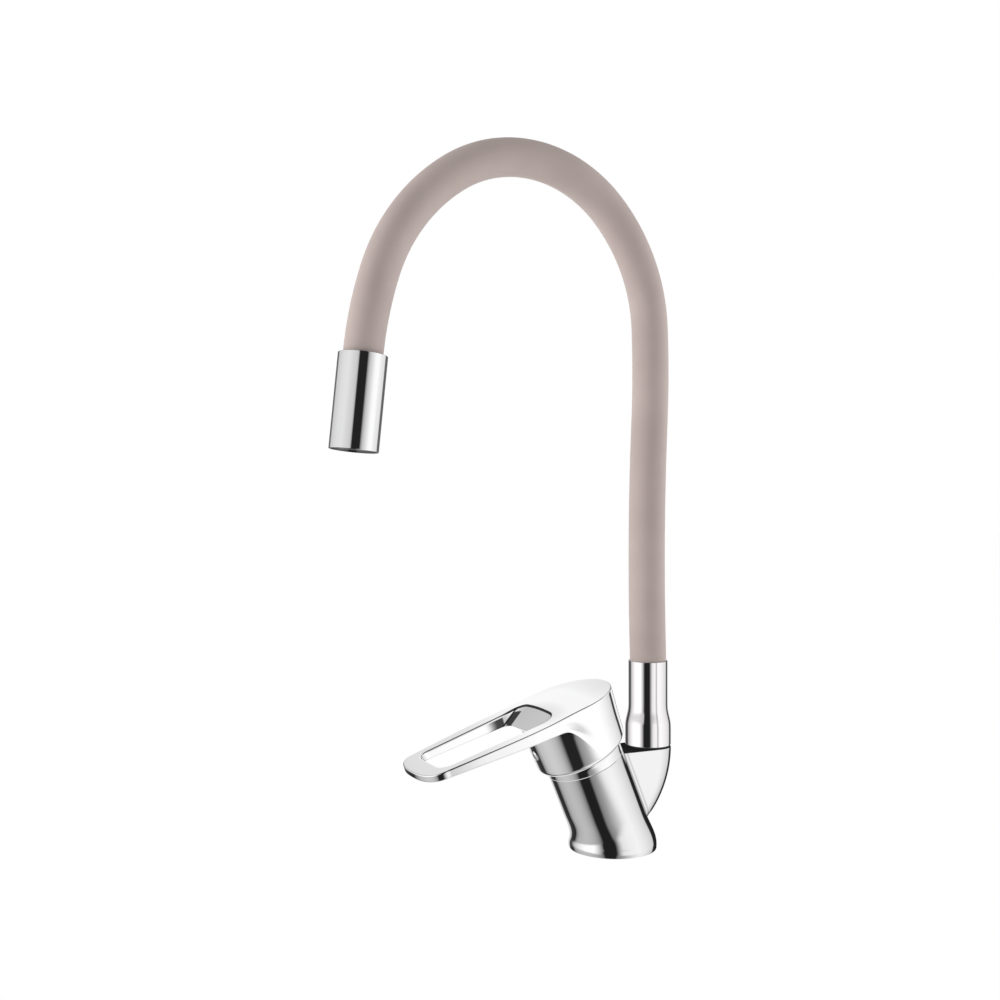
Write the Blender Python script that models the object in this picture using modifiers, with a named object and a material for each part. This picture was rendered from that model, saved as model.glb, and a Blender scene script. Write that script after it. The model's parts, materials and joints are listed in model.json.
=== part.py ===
"""A single-lever kitchen tap with a flexible spout, in metres.

The tap stands on its deck at z = 0 and faces -Y. Its barrel leans forward, an arm cast on its
back carries the swivelling spout, and a lever with an open loop sits on the ceramic cartridge.
"""

import math

import bmesh
import bpy
from mathutils import Matrix, Vector

MM = 0.001

# Clearances
GAP = 0.3 * MM
OVERRUN = 5 * MM
MERGE = 0.01 * MM

# Barrel and foot
LEAN = math.radians(22.6)
BARREL_RADIUS = 22.6 * MM
BARREL_TOP = 55.8 * MM
BARREL_BACK = 3.1 * MM
BARREL_START = 8 * MM
FOOT_SPREAD = 3.1 * MM
FOOT_RADIUS = BARREL_RADIUS + FOOT_SPREAD
FOOT_EDGE = 3.5 * MM
FOOT_HEIGHT = 20.5 * MM
FOOT_CURVE = 2.3
FOOT_RINGS = 7
FOOT_TUCK_SHARE = 0.985
GASKET_INSET = 1.7 * MM
GASKET_RADIUS = FOOT_RADIUS - GASKET_INSET
GASKET_WIDTH = 3 * MM
GASKET_DEPTH = 2 * MM

# Arm that carries the spout
ARM_CLEARANCE = 2.05 * MM
SPOUT_BACK = BARREL_RADIUS + ARM_CLEARANCE
ARM_TOP = 56.8 * MM
ARM_RADIUS = 13.5 * MM
ARM_CURVE = 56 * MM
ARM_FOOT = 14 * MM
ARM_RINGS = 8
SOCKET_FLOOR = 37 * MM
SOCKET_RADIUS = 7.4 * MM

# Cartridge, measured along the barrel
CARTRIDGE_FLOOR = 27 * MM
BARREL_WALL = 3.2 * MM
NUT_THREAD_RADIUS = BARREL_RADIUS - BARREL_WALL
NUT_STEP = 1.8 * MM
NUT_HEAD_RADIUS = NUT_THREAD_RADIUS - NUT_STEP
NUT_TOP = 63.2 * MM
CARTRIDGE_STEP = 2 * MM
CARTRIDGE_RADIUS = NUT_THREAD_RADIUS - CARTRIDGE_STEP
CARTRIDGE_SHOULDER = 50.5 * MM
NECK_STEP = 2.6 * MM
CARTRIDGE_NECK_RADIUS = CARTRIDGE_RADIUS - NECK_STEP
CARTRIDGE_TOP = 64 * MM
CARTRIDGE_PLATE = 4.2 * MM
CARTRIDGE_WALL = 2.2 * MM
SEAL_DEPTH = 1.6 * MM
SEAL_WIDTH = 1.6 * MM
DISC_INSET = 6.6 * MM
DISC_RADIUS = CARTRIDGE_RADIUS - DISC_INSET
FIXED_DISC = 3.7 * MM
MOVING_DISC = 3.4 * MM
CARRIER = 5.6 * MM
MIXING_DEPTH = 1.6 * MM
ROTOR_FLANGE = 2 * MM
ROTOR_TOP = 65.4 * MM

# Water ways in the cartridge and the casting
PORT_SHARE = 0.28
INLET_PORT_SHARES = (0.6, 0.51)
OUTLET_PORT_SHARE = 0.69
PORT_RADIUS = DISC_RADIUS * PORT_SHARE
INLET_PORT = Vector((DISC_RADIUS * INLET_PORT_SHARES[0], -DISC_RADIUS * INLET_PORT_SHARES[1], 0))
OUTLET_PORT = Vector((0, DISC_RADIUS * OUTLET_PORT_SHARE, 0))
INLET_SPREAD_SHARE = 0.37
INLET_BACK_SHARE = 0.31
INLET_SPREAD = FOOT_RADIUS * INLET_SPREAD_SHARE
INLET_BACK = FOOT_RADIUS * INLET_BACK_SHARE
INLET_DEPTH = 14 * MM
INLET_RADIUS = 4.6 * MM
OUTLET_SINK = 11 * MM
STUD_FORWARD = 13 * MM
STUD_RADIUS = 3.4 * MM
STUD_DEPTH = 13 * MM

# Dome cover between the barrel and the lever
DOME_SIDE = 3 * MM
DOME_TOP = 66.4 * MM
DOME_REACH = 6.6 * MM
DOME_MOUTH = BARREL_RADIUS - DOME_REACH
DOME_WALL = 1 * MM
DOME_STEPS = 4

# Lever and stem
PIVOT = 59 * MM
LIFT = math.radians(22)
STEM_SIDE = 7.4 * MM
STEM_REACH = 24 * MM
BALL_DROP = 14.5 * MM
BALL_RADIUS = 2.5 * MM
STEM_NECK = 4 * MM
PIN_RADIUS = 1.3 * MM
PIN_INSET = 0.8 * MM
PIN_LENGTH = 2 * (CARTRIDGE_NECK_RADIUS - CARTRIDGE_WALL - PIN_INSET)
LEVER_TOP = 95.2 * MM
LEVER_TILT = math.radians(4.1)
SKIRT_BOTTOM = 62.4 * MM
SKIRT_TILT = math.radians(-5.5)
SKIRT_OVERHANG = 0.8 * MM
SKIRT_LIP_RADIUS = BARREL_RADIUS + SKIRT_OVERHANG
SKIRT_SPREAD = 3.7 * MM
SKIRT_RADIUS = SKIRT_LIP_RADIUS + SKIRT_SPREAD
SKIRT_ROUND = 4 * MM
CAP_SPREAD = 1.4 * MM
CAP_TOP_RADIUS = SKIRT_RADIUS + CAP_SPREAD
CAP_WALL = 2.3 * MM
CAP_ROOF = 9 * MM
CAP_RINGS = 8
CAP_CROWDING = 1.6
HOLLOW_RINGS = 3
CROWN_SPREAD = 9.5 * MM
CROWN_RADIUS = CAP_TOP_RADIUS + CROWN_SPREAD
CROWN_HEIGHT = 3.4 * MM
CROWN_RINGS = 7
BOSS_RADIUS = 8.2 * MM
BOSS_START = 12.6 * MM
BOSS_END = 30 * MM
PLATE_SIDE_LEDGE = 0.1 * MM
PLATE_HALF = CAP_TOP_RADIUS + PLATE_SIDE_LEDGE
PLATE_BACK_LEDGE = 0.8 * MM
PLATE_BACK = CAP_TOP_RADIUS + PLATE_BACK_LEDGE
PLATE_STRAIGHT = 46.4 * MM
PLATE_TAPER = 5 * MM
PLATE_TIP_HALF = PLATE_HALF - PLATE_TAPER
PLATE_LENGTH = 98.4 * MM
TIP_ROUND = 12.9 * MM
PLATE_TIP_START = PLATE_LENGTH - TIP_ROUND
TIP_BLUNT_SHARE = 0.78
PLATE_DEPTH = 7 * MM
PLATE_TIP_DEPTH = 4.2 * MM
RAIL_WIDTH = 8.4 * MM
SLOT_HALF = PLATE_HALF - RAIL_WIDTH
TIP_RAIL_WIDTH = 6.1 * MM
SLOT_TIP_HALF = PLATE_TIP_HALF - TIP_RAIL_WIDTH
TIP_WIDTH = 11.7 * MM
SLOT_END = PLATE_LENGTH - TIP_WIDTH
SLOT_CORNER = 7 * MM
SLOT_DRAFT = 0.3 * MM
SLOT_FLOOR_CORNER = 5 * MM
SLOT_FLOOR_BACK = 28.4 * MM
SCOOP_LENGTH = 12 * MM
SCOOP_LIP = 2 * MM
SCREW_HEIGHT = 20.8 * MM
SCREW_RADIUS = 2.4 * MM
SCREW_LENGTH = 5.4 * MM
SCREW_KEY = 1.2 * MM
PLUG_RADIUS = 3.4 * MM
PLUG_DEPTH = 1.6 * MM
PLUG_CROWN = 0.6 * MM

PLUG_SHARE = 0.45
PLUG_FACE = SKIRT_RADIUS + (CAP_TOP_RADIUS - SKIRT_RADIUS) * PLUG_SHARE
PLUG_RUN = (PLUG_FACE - SCREW_HEIGHT * math.sin(LIFT / 2)) / math.cos(LIFT / 2)
PLUG_HEIGHT = PIVOT + SCREW_HEIGHT * math.cos(LIFT / 2) - PLUG_RUN * math.sin(LIFT / 2)

# Spout base
WASHER_THICK = 0.6 * MM
WASHER_RADIUS = 12.6 * MM
SLEEVE_RADIUS = 13.55 * MM
SLEEVE_LOW = 70.4 * MM
SLEEVE_HIGH = 78.9 * MM
SLEEVE_TOP_RADIUS = 11.55 * MM
SLEEVE_TOP = 107.4 * MM
FLANGE_RADIUS = 12.1 * MM
FLANGE_THICK = 2.8 * MM
THREAD_RADIUS = 10.1 * MM
THREAD_TOP = 72 * MM
NIPPLE_TOP = 76 * MM
NIPPLE_NECK_RADIUS = 8 * MM
NIPPLE_BORE = 3.6 * MM
TAIL_TOP = 98 * MM
TAIL_RADIUS = 3.6 * MM
TAIL_BORE = 2.6 * MM
RING_CORD = 1.4 * MM
RING_LOW_SHARE = 0.2
RING_HIGH_SHARE = 0.455
CLIP_SHARE = 0.74
RING_LOW = SOCKET_FLOOR + (ARM_TOP - SOCKET_FLOOR) * RING_LOW_SHARE
RING_HIGH = SOCKET_FLOOR + (ARM_TOP - SOCKET_FLOOR) * RING_HIGH_SHARE
CLIP_HEIGHT = SOCKET_FLOOR + (ARM_TOP - SOCKET_FLOOR) * CLIP_SHARE
CLIP_THICK = 1.2 * MM
CLIP_DEPTH = 1.5 * MM
CLIP_GAP_ANGLE = math.radians(50)
COLLAR_TOP = 92 * MM
COLLAR_SHELF = 4 * MM

# Flexible spout: a chain of arcs from the coupling sleeve's top to the nozzle
HOSE_RADIUS = 10.7 * MM
HOSE_WALL = 2.2 * MM
HOSE_LENGTH = 498 * MM
ARC_SHARES = (0.0161, 0.2673, 0.1129, 0.1513, 0.2105, 0.1502, 0.0917)
ARC_TURNS = tuple(math.radians(turn) for turn in (1.7, -4.4, 5.2, 42.1, 78.7, 39.1, 11.7))
HINGE_SHARES = (0.10, 0.27, 0.46, 0.58, 0.70, 0.82)
HOSE_SAG = 0.2 * MM
BALL_ZONE = math.radians(34)
BALL_ZONE_STEPS = 4
CORE_RADIUS = 7.6 * MM
CORE_WALL = 1.7 * MM
TUBE_RADIUS = 5.1 * MM
TUBE_WALL = 1.2 * MM

# Nozzle, measured down its axis
NOZZLE_RADIUS = 13.25 * MM
NOZZLE_LENGTH = 51.2 * MM
NOZZLE_CHAMFER = 0.5 * MM
HOSE_SEAT = 9 * MM
HEAD_COLLAR_LENGTH = 10.4 * MM
HEAD_TAIL = 13 * MM
CORE_SEAT = 5.5 * MM
HEAD_WASHER = 1.6 * MM
NOZZLE_WEB = 2 * MM
NOZZLE_WEB_HOLE = 4.6 * MM
AERATOR_THREAD = 11.9 * MM
AERATOR_SEAL = 1.6 * MM
AERATOR_WALL = 1.5 * MM
AERATOR_RECESS = 1.2 * MM
AERATOR_LIP = 1.4 * MM
AERATOR_LIP_DEPTH = 2.2 * MM
INSERT_LENGTH = 8 * MM
INSERT_FLOOR = 1.5 * MM
INSERT_JET = 1.1 * MM
INSERT_JETS = 8
SCREEN_THICK = 0.8 * MM
MESH_THICK = 1 * MM
MESH_HOLE = 1 * MM
MESH_RINGS = 3
MESH_RING_HOLES = 6

# Facets
ROUND = 36
SMALL_ROUND = 20
TINY_ROUND = 12
JET_ROUND = 8
MESH_ROUND = 6
CORD_ROUND = 10
BALL_STEPS = 8
CORNER_STEPS = 4
CURVE_LEAST_ROUND = 4
LOFT_POINTS = 36
SHARP_ANGLE = math.radians(32)

CHROME = ("chrome", (0.82, 0.82, 0.84), 0.04, 1.0)
STEEL = ("polished_steel", (0.74, 0.72, 0.72), 0.16, 1.0)
BRASS = ("brass", (0.80, 0.62, 0.30), 0.30, 1.0)
STAINLESS = ("stainless_wire", (0.60, 0.60, 0.61), 0.35, 1.0)
SILICONE = ("taupe_silicone", (0.45, 0.38, 0.36), 0.62, 0.0)
RUBBER = ("black_rubber", (0.03, 0.03, 0.03), 0.75, 0.0)
CERAMIC = ("white_ceramic", (0.88, 0.87, 0.84), 0.18, 0.0)
NYLON = ("grey_nylon", (0.33, 0.34, 0.36), 0.45, 0.0)
ACETAL = ("white_acetal", (0.80, 0.80, 0.78), 0.40, 0.0)
CLEAR_TUBE = ("milky_tube", (0.72, 0.74, 0.74), 0.35, 0.0)


def clear_scene():
    for obj in list(bpy.data.objects):
        bpy.data.objects.remove(obj, do_unlink=True)


def collection(name, hidden=False):
    group = bpy.data.collections.new(name)
    group.hide_render = hidden
    bpy.context.scene.collection.children.link(group)
    return group


def finish(look):
    """The Principled material of this look, made once."""
    name, colour, roughness, metallic = look
    material = bpy.data.materials.get(name)
    if material is None:
        material = bpy.data.materials.new(name)
        material.use_nodes = True
        shader = material.node_tree.nodes["Principled BSDF"]
        shader.inputs["Base Color"].default_value = (*colour, 1)
        shader.inputs["Roughness"].default_value = roughness
        shader.inputs["Metallic"].default_value = metallic
    return material


def add(name, mesh, look=None, parent=None, origin=(0, 0, 0)):
    """A part with this look, or a cutter where it has none; its mesh is moved back by the origin."""
    mesh.transform(Matrix.Translation(-Vector(origin)))
    obj = bpy.data.objects.new(name, mesh)
    obj.parent = parent
    obj.location = origin
    if look is None:
        CUTTERS.objects.link(obj)
        obj.hide_render = True
        obj.display_type = "WIRE"
        return obj
    PARTS.objects.link(obj)
    mesh.materials.append(finish(look))
    mesh.shade_smooth()
    mesh.set_sharp_from_angle(angle=SHARP_ANGLE)
    return obj


def frame(name, location, turn=0.0, parent=None):
    """An empty that carries pieces, turned about its X axis."""
    obj = bpy.data.objects.new(name, None)
    obj.location = location
    obj.rotation_euler = (turn, 0, 0)
    obj.parent = parent
    PARTS.objects.link(obj)
    return obj


def mesh_of(name, build):
    """A mesh filled by a function that takes an empty bmesh."""
    mesh = bpy.data.meshes.new(name)
    shape = bmesh.new()
    build(shape)
    bmesh.ops.recalc_face_normals(shape, faces=shape.faces)
    shape.to_mesh(mesh)
    shape.free()
    return mesh


def turned(name, profile, look=None, parent=None, steps=ROUND, axis=(0, 0, 0)):
    """A turned piece. The profile's (radius, height) points run down its outside, and up its bore."""
    closed = all(radius > 0 for radius, _ in profile)
    mesh = bpy.data.meshes.new(name)
    shape = bmesh.new()
    corners = [shape.verts.new((radius, 0, height)) for radius, height in profile]
    for first, second in zip(corners, corners[1:] + corners[:1] if closed else corners[1:]):
        shape.edges.new((first, second))
    shape.to_mesh(mesh)
    shape.free()
    obj = add(name, mesh, look, parent)
    obj.location = axis
    screw = obj.modifiers.new("turn", "SCREW")
    screw.steps = steps
    screw.render_steps = steps
    screw.use_smooth_shade = True
    screw.use_merge_vertices = True
    screw.merge_threshold = MERGE
    return obj


def ring_profile(outer, inner, bottom, top):
    return [(outer, top), (outer, bottom), (inner, bottom), (inner, top)]


def plug_profile(radius, bottom, top):
    return [(0, top), (radius, top), (radius, bottom), (0, bottom)]


def bar(name, start, end, radius, parent=None, sides=SMALL_ROUND, look=None):
    """A round bar between two points of its parent's frame."""
    start, end = Vector(start), Vector(end)
    along = end - start
    place = Matrix.Translation((start + end) / 2) @ along.to_track_quat("Z", "Y").to_matrix().to_4x4()

    def build(shape):
        bmesh.ops.create_cone(
            shape, cap_ends=True, segments=sides, radius1=radius, radius2=radius,
            depth=along.length, matrix=place,
        )

    return add(name, mesh_of(name, build), look, parent)


def block(name, low, high, parent=None, look=None, turn=0.0, pivot=(0, 0, 0)):
    """A box between two corners of its parent's frame, turned about X through the pivot."""
    low, high, pivot = Vector(low), Vector(high), Vector(pivot)
    place = Matrix.Translation(pivot) @ Matrix.Rotation(turn, 4, "X") @ Matrix.Translation(-pivot)
    place = place @ Matrix.Translation((low + high) / 2) @ Matrix.Diagonal((*(high - low), 1))

    def build(shape):
        bmesh.ops.create_cube(shape, size=1, matrix=place)

    return add(name, mesh_of(name, build), look, parent)


def loft(name, rings, look=None, parent=None):
    """A closed skin over rings of as many points each, with flat ends."""

    def build(shape):
        loops = [[shape.verts.new(point) for point in ring] for ring in rings]
        for low, high in zip(loops, loops[1:]):
            for i in range(len(low)):
                j = (i + 1) % len(low)
                shape.faces.new((low[i], low[j], high[j], high[i]))
        shape.faces.new(reversed(loops[0]))
        shape.faces.new(loops[-1])

    return add(name, mesh_of(name, build), look, parent)


def mesh_from_curve(name, curve_object):
    """The curve's mesh, with its loose caps welded, and the curve removed."""
    graph = bpy.context.evaluated_depsgraph_get()
    graph.update()
    mesh = bpy.data.meshes.new_from_object(curve_object.evaluated_get(graph))
    mesh.name = name
    shape = bmesh.new()
    shape.from_mesh(mesh)
    bmesh.ops.remove_doubles(shape, verts=shape.verts, dist=MERGE)
    bmesh.ops.recalc_face_normals(shape, faces=shape.faces)
    shape.to_mesh(mesh)
    shape.free()
    mesh.transform(curve_object.matrix_world)
    bpy.data.objects.remove(curve_object, do_unlink=True)
    return mesh


def tube(name, points, radius, swells=None, look=None, parent=None, origin=(0, 0, 0), sides=SMALL_ROUND):
    """A solid round tube along points, whose radius may change from point to point."""
    curve = bpy.data.curves.new(name, "CURVE")
    curve.dimensions = "3D"
    curve.bevel_depth = radius
    curve.bevel_resolution = (sides - CURVE_LEAST_ROUND) // 2
    curve.use_fill_caps = True
    spline = curve.splines.new("POLY")
    spline.points.add(len(points) - 1)
    for i, (slot, point) in enumerate(zip(spline.points, points)):
        slot.co = (*point, 1)
        slot.radius = swells[i] if swells else 1
    guide = bpy.data.objects.new(name, curve)
    CUTTERS.objects.link(guide)
    return add(name, mesh_from_curve(name, guide), look, parent, origin)


def plate(name, outline, bottom, top, look=None, parent=None):
    """A flat plate with this outline in the XY plane of its parent."""
    curve = bpy.data.curves.new(name, "CURVE")
    curve.dimensions = "2D"
    curve.fill_mode = "BOTH"
    curve.extrude = (top - bottom) / 2
    spline = curve.splines.new("POLY")
    spline.points.add(len(outline) - 1)
    for slot, (x, y) in zip(spline.points, outline):
        slot.co = (x, y, 0, 1)
    spline.use_cyclic_u = True
    guide = bpy.data.objects.new(name, curve)
    guide.location = (0, 0, (top + bottom) / 2)
    CUTTERS.objects.link(guide)
    return add(name, mesh_from_curve(name, guide), look, parent)


def boolean(obj, other, operation):
    modifier = obj.modifiers.new(f"{operation.lower()} {other.name}", "BOOLEAN")
    modifier.operation = operation
    modifier.object = other
    modifier.solver = "EXACT"


def cut(obj, *others):
    for other in others:
        boolean(obj, other, "DIFFERENCE")


def join(obj, *others):
    for other in others:
        boolean(obj, other, "UNION")


def barrel_centre(height):
    """Where the leaning barrel's axis passes this height above the deck, as y."""
    return BARREL_BACK - height * math.tan(LEAN)


def foot_ring(height, flare):
    """The foot's outline at a height: the barrel's own section, spread towards the round base."""
    points = []
    for i in range(LOFT_POINTS):
        angle = math.tau * i / LOFT_POINTS
        across, along = math.cos(angle), math.sin(angle)
        barrel = Vector((BARREL_RADIUS * across, BARREL_RADIUS / math.cos(LEAN) * along, 0))
        barrel = barrel * FOOT_TUCK_SHARE + Vector((0, barrel_centre(height), 0))
        base = Vector((FOOT_RADIUS * across, FOOT_RADIUS * along, 0))
        point = barrel.lerp(base, flare)
        points.append((point.x, point.y, height))
    return points


def arm_ring(height):
    """The arm's outline at a height: a half round at the back, and straight sides into the barrel."""
    drop = ARM_TOP - height
    centre = SPOUT_BACK - (ARM_CURVE - math.sqrt(ARM_CURVE**2 - drop**2))
    front = min(barrel_centre(height) + BARREL_RADIUS / 2, centre - ARM_RADIUS / 2)
    half_turn = [math.pi * i / (LOFT_POINTS // 2) for i in range(LOFT_POINTS // 2 + 1)]
    points = [(ARM_RADIUS * math.cos(a), centre + ARM_RADIUS * math.sin(a), height) for a in half_turn]
    return points + [(-ARM_RADIUS, front, height), (ARM_RADIUS, front, height)]


def make_body():
    """The brass casting: foot, leaning barrel, spout arm, and the water ways in them."""
    flare = [(0.0, 1.0)]
    for i in range(FOOT_RINGS):
        share = i / (FOOT_RINGS - 1)
        flare.append((FOOT_EDGE + (FOOT_HEIGHT - FOOT_EDGE) * share, (1 - share) ** FOOT_CURVE))
    body = loft("tap_body", [foot_ring(*ring) for ring in flare], CHROME)
    barrel = turned("barrel_stock", plug_profile(BARREL_RADIUS, BARREL_START, BARREL_TOP), parent=BARREL)
    heights = [ARM_FOOT + (ARM_TOP - ARM_FOOT) * i / (ARM_RINGS - 1) for i in range(ARM_RINGS)]
    arm = loft("arm_stock", [arm_ring(height) for height in heights])
    join(body, barrel, arm)

    wide = 2 * FOOT_RADIUS
    below = block("below_deck", (-wide, -wide, -FOOT_RADIUS), (wide, wide, 0))
    bore = turned(
        "cartridge_bore",
        [
            (0, BARREL_TOP + OVERRUN),
            (NUT_THREAD_RADIUS + GAP, BARREL_TOP + OVERRUN),
            (NUT_THREAD_RADIUS + GAP, CARTRIDGE_SHOULDER),
            (CARTRIDGE_RADIUS + GAP, CARTRIDGE_SHOULDER),
            (CARTRIDGE_RADIUS + GAP, CARTRIDGE_FLOOR),
            (0, CARTRIDGE_FLOOR),
        ],
        parent=BARREL,
    )
    socket = turned(
        "spout_socket",
        [
            (0, ARM_TOP + OVERRUN),
            (SOCKET_RADIUS, ARM_TOP + OVERRUN),
            (SOCKET_RADIUS, CLIP_HEIGHT + CLIP_THICK + GAP),
            (SOCKET_RADIUS + CLIP_DEPTH, CLIP_HEIGHT + CLIP_THICK + GAP),
            (SOCKET_RADIUS + CLIP_DEPTH, CLIP_HEIGHT - GAP),
            (SOCKET_RADIUS, CLIP_HEIGHT - GAP),
            (SOCKET_RADIUS, SOCKET_FLOOR),
            (0, SOCKET_FLOOR),
        ],
        parent=SPOUT,
        steps=SMALL_ROUND,
    )
    groove = turned(
        "gasket_groove",
        ring_profile(GASKET_RADIUS + GAP, GASKET_RADIUS - GASKET_WIDTH - GAP, -OVERRUN, GASKET_DEPTH + GAP),
    )
    stud = bar("stud_hole", (0, -STUD_FORWARD, -OVERRUN), (0, -STUD_FORWARD, STUD_DEPTH), STUD_RADIUS)
    cut(body, below, bore, socket, groove, stud)

    to_world = Matrix.Translation((0, BARREL_BACK, 0)) @ Matrix.Rotation(LEAN, 4, "X")
    for side, hand in ((1, "right"), (-1, "left")):
        top = Vector((side * INLET_PORT.x, INLET_PORT.y, CARTRIDGE_FLOOR + GAP))
        low = Vector((side * INLET_SPREAD, INLET_BACK, INLET_DEPTH - PORT_RADIUS))
        cut(
            body,
            bar(f"{hand}_inlet_way", to_world @ top, low, PORT_RADIUS, sides=TINY_ROUND),
            bar(
                f"{hand}_inlet_port", (low.x, low.y, -OVERRUN), (low.x, low.y, INLET_DEPTH), INLET_RADIUS,
                sides=TINY_ROUND,
            ),
        )
    outlet = OUTLET_PORT + Vector((0, 0, CARTRIDGE_FLOOR))
    sunk = outlet - Vector((0, 0, OUTLET_SINK))
    cut(
        body,
        bar("outlet_port", outlet + Vector((0, 0, GAP)), sunk, PORT_RADIUS, BARREL, TINY_ROUND),
        bar(
            "outlet_way", to_world @ (sunk + Vector((0, 0, PORT_RADIUS + SEAL_WIDTH))),
            (0, SPOUT_BACK, SOCKET_FLOOR + PORT_RADIUS), PORT_RADIUS, sides=TINY_ROUND,
        ),
    )
    turned(
        "base_gasket",
        ring_profile(GASKET_RADIUS, GASKET_RADIUS - GASKET_WIDTH, 0, GASKET_DEPTH),
        RUBBER,
    )


def port_places():
    """The cartridge's two inlets and its outlet, as (name, x, y) in the barrel's frame."""
    return (
        ("hot_inlet", INLET_PORT.x, INLET_PORT.y),
        ("cold_inlet", -INLET_PORT.x, INLET_PORT.y),
        ("outlet", OUTLET_PORT.x, OUTLET_PORT.y),
    )


def make_cartridge():
    """The ceramic cartridge: housing, seals, two discs, carrier, rotor, pin, and the nut above."""
    bottom = CARTRIDGE_FLOOR + GAP
    chamber = CARTRIDGE_RADIUS - CARTRIDGE_WALL
    neck_bore = CARTRIDGE_NECK_RADIUS - CARTRIDGE_WALL
    plate_top = bottom + CARTRIDGE_PLATE
    fixed_top = plate_top + GAP + FIXED_DISC
    moving_bottom = fixed_top + GAP
    moving_top = moving_bottom + MOVING_DISC
    carrier_bottom = moving_top + GAP
    carrier_top = carrier_bottom + CARRIER
    ledge = CARTRIDGE_SHOULDER - CARTRIDGE_WALL
    rotor_bottom = ledge - GAP - ROTOR_FLANGE

    housing = turned(
        "cartridge_housing",
        [
            (0, plate_top),
            (chamber, plate_top),
            (chamber, ledge),
            (neck_bore, ledge),
            (neck_bore, CARTRIDGE_TOP),
            (CARTRIDGE_NECK_RADIUS, CARTRIDGE_TOP),
            (CARTRIDGE_NECK_RADIUS, CARTRIDGE_SHOULDER),
            (CARTRIDGE_RADIUS, CARTRIDGE_SHOULDER),
            (CARTRIDGE_RADIUS, bottom),
            (0, bottom),
        ],
        NYLON,
        BARREL,
    )
    fixed = turned(
        "fixed_ceramic_disc", plug_profile(DISC_RADIUS, plate_top + GAP, fixed_top), CERAMIC, BARREL
    )
    seal_radius = PORT_RADIUS + SEAL_WIDTH
    for name, x, y in port_places():
        place = Vector((x, y, 0))
        lift = Vector((0, 0, fixed_top + OVERRUN))
        way = bar(f"{name}_way", place, place + lift, PORT_RADIUS, BARREL, TINY_ROUND)
        pocket = bar(
            f"{name}_pocket", place, place + Vector((0, 0, bottom + SEAL_DEPTH + GAP)), seal_radius + GAP,
            BARREL, TINY_ROUND,
        )
        cut(housing, way, pocket)
        cut(fixed, way)
        turned(
            f"{name}_seal", ring_profile(seal_radius, PORT_RADIUS + GAP, bottom, bottom + SEAL_DEPTH),
            RUBBER, BARREL, TINY_ROUND, place,
        )

    start = -BALL_DROP * math.sin(LIFT / 2)
    centre = Vector((0, -start, 0))
    moving = turned(
        "moving_ceramic_disc", plug_profile(DISC_RADIUS, moving_bottom, moving_top), CERAMIC, BARREL,
        axis=centre,
    )
    pocket = turned(
        "mixing_pocket",
        plug_profile(DISC_RADIUS - PORT_RADIUS, moving_bottom - OVERRUN, moving_bottom + MIXING_DEPTH),
        parent=BARREL, steps=SMALL_ROUND, axis=centre,
    )
    cut(moving, pocket)
    carrier = turned(
        "disc_carrier", plug_profile(DISC_RADIUS, carrier_bottom, carrier_top), ACETAL, BARREL, axis=centre
    )
    seat_floor = PIVOT - BALL_DROP - BALL_RADIUS - GAP
    seat = bar(
        "ball_seat", (0, centre.y, seat_floor), (0, centre.y, carrier_top + OVERRUN), BALL_RADIUS + GAP,
        BARREL, TINY_ROUND,
    )
    cut(carrier, seat)

    rotor = turned(
        "stem_rotor",
        [
            (0, ROTOR_TOP),
            (neck_bore - GAP, ROTOR_TOP),
            (neck_bore - GAP, ledge - GAP),
            (chamber - GAP, ledge - GAP),
            (chamber - GAP, rotor_bottom),
            (0, rotor_bottom),
        ],
        ACETAL,
        BARREL,
    )
    half = STEM_SIDE / 2
    swing = half / math.cos(LIFT / 2) + GAP + (PIVOT - rotor_bottom) * math.tan(LIFT / 2)
    opening = half + GAP
    high = Vector((opening, swing, ROTOR_TOP + OVERRUN))
    slot = block("rotor_slot", (-opening, -swing, rotor_bottom - OVERRUN), high, BARREL)
    pin_hole = bar(
        "rotor_pin_hole", (-chamber, 0, PIVOT), (chamber, 0, PIVOT), PIN_RADIUS + GAP, BARREL, TINY_ROUND
    )
    cut(rotor, slot, pin_hole)
    pin_end = PIN_LENGTH / 2
    bar("stem_pin", (-pin_end, 0, PIVOT), (pin_end, 0, PIVOT), PIN_RADIUS, BARREL, TINY_ROUND, STAINLESS)

    turned(
        "cartridge_nut",
        [
            (NUT_HEAD_RADIUS, NUT_TOP),
            (NUT_HEAD_RADIUS, BARREL_TOP + GAP),
            (NUT_THREAD_RADIUS, BARREL_TOP + GAP),
            (NUT_THREAD_RADIUS, CARTRIDGE_SHOULDER + GAP),
            (CARTRIDGE_NECK_RADIUS + GAP, CARTRIDGE_SHOULDER + GAP),
            (CARTRIDGE_NECK_RADIUS + GAP, NUT_TOP),
        ],
        BRASS,
        BARREL,
    )


def make_dome():
    """The chrome cover over the cartridge nut, which the lever's skirt glides round."""
    low = BARREL_TOP + GAP
    side = low + DOME_SIDE
    outside = []
    for i in range(DOME_STEPS + 1):
        angle = math.pi / 2 * (1 - i / DOME_STEPS)
        outside.append(
            (
                DOME_MOUTH + (BARREL_RADIUS - DOME_MOUTH) * math.cos(angle),
                side + (DOME_TOP - side) * math.sin(angle),
            )
        )
    inside = [(max(r - DOME_WALL, DOME_MOUTH), z - DOME_WALL) for r, z in reversed(outside)]
    inner_rim = BARREL_RADIUS - DOME_WALL
    turned("dome_cover", [*outside, (BARREL_RADIUS, low), (inner_rim, low), *inside], CHROME, BARREL)


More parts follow.
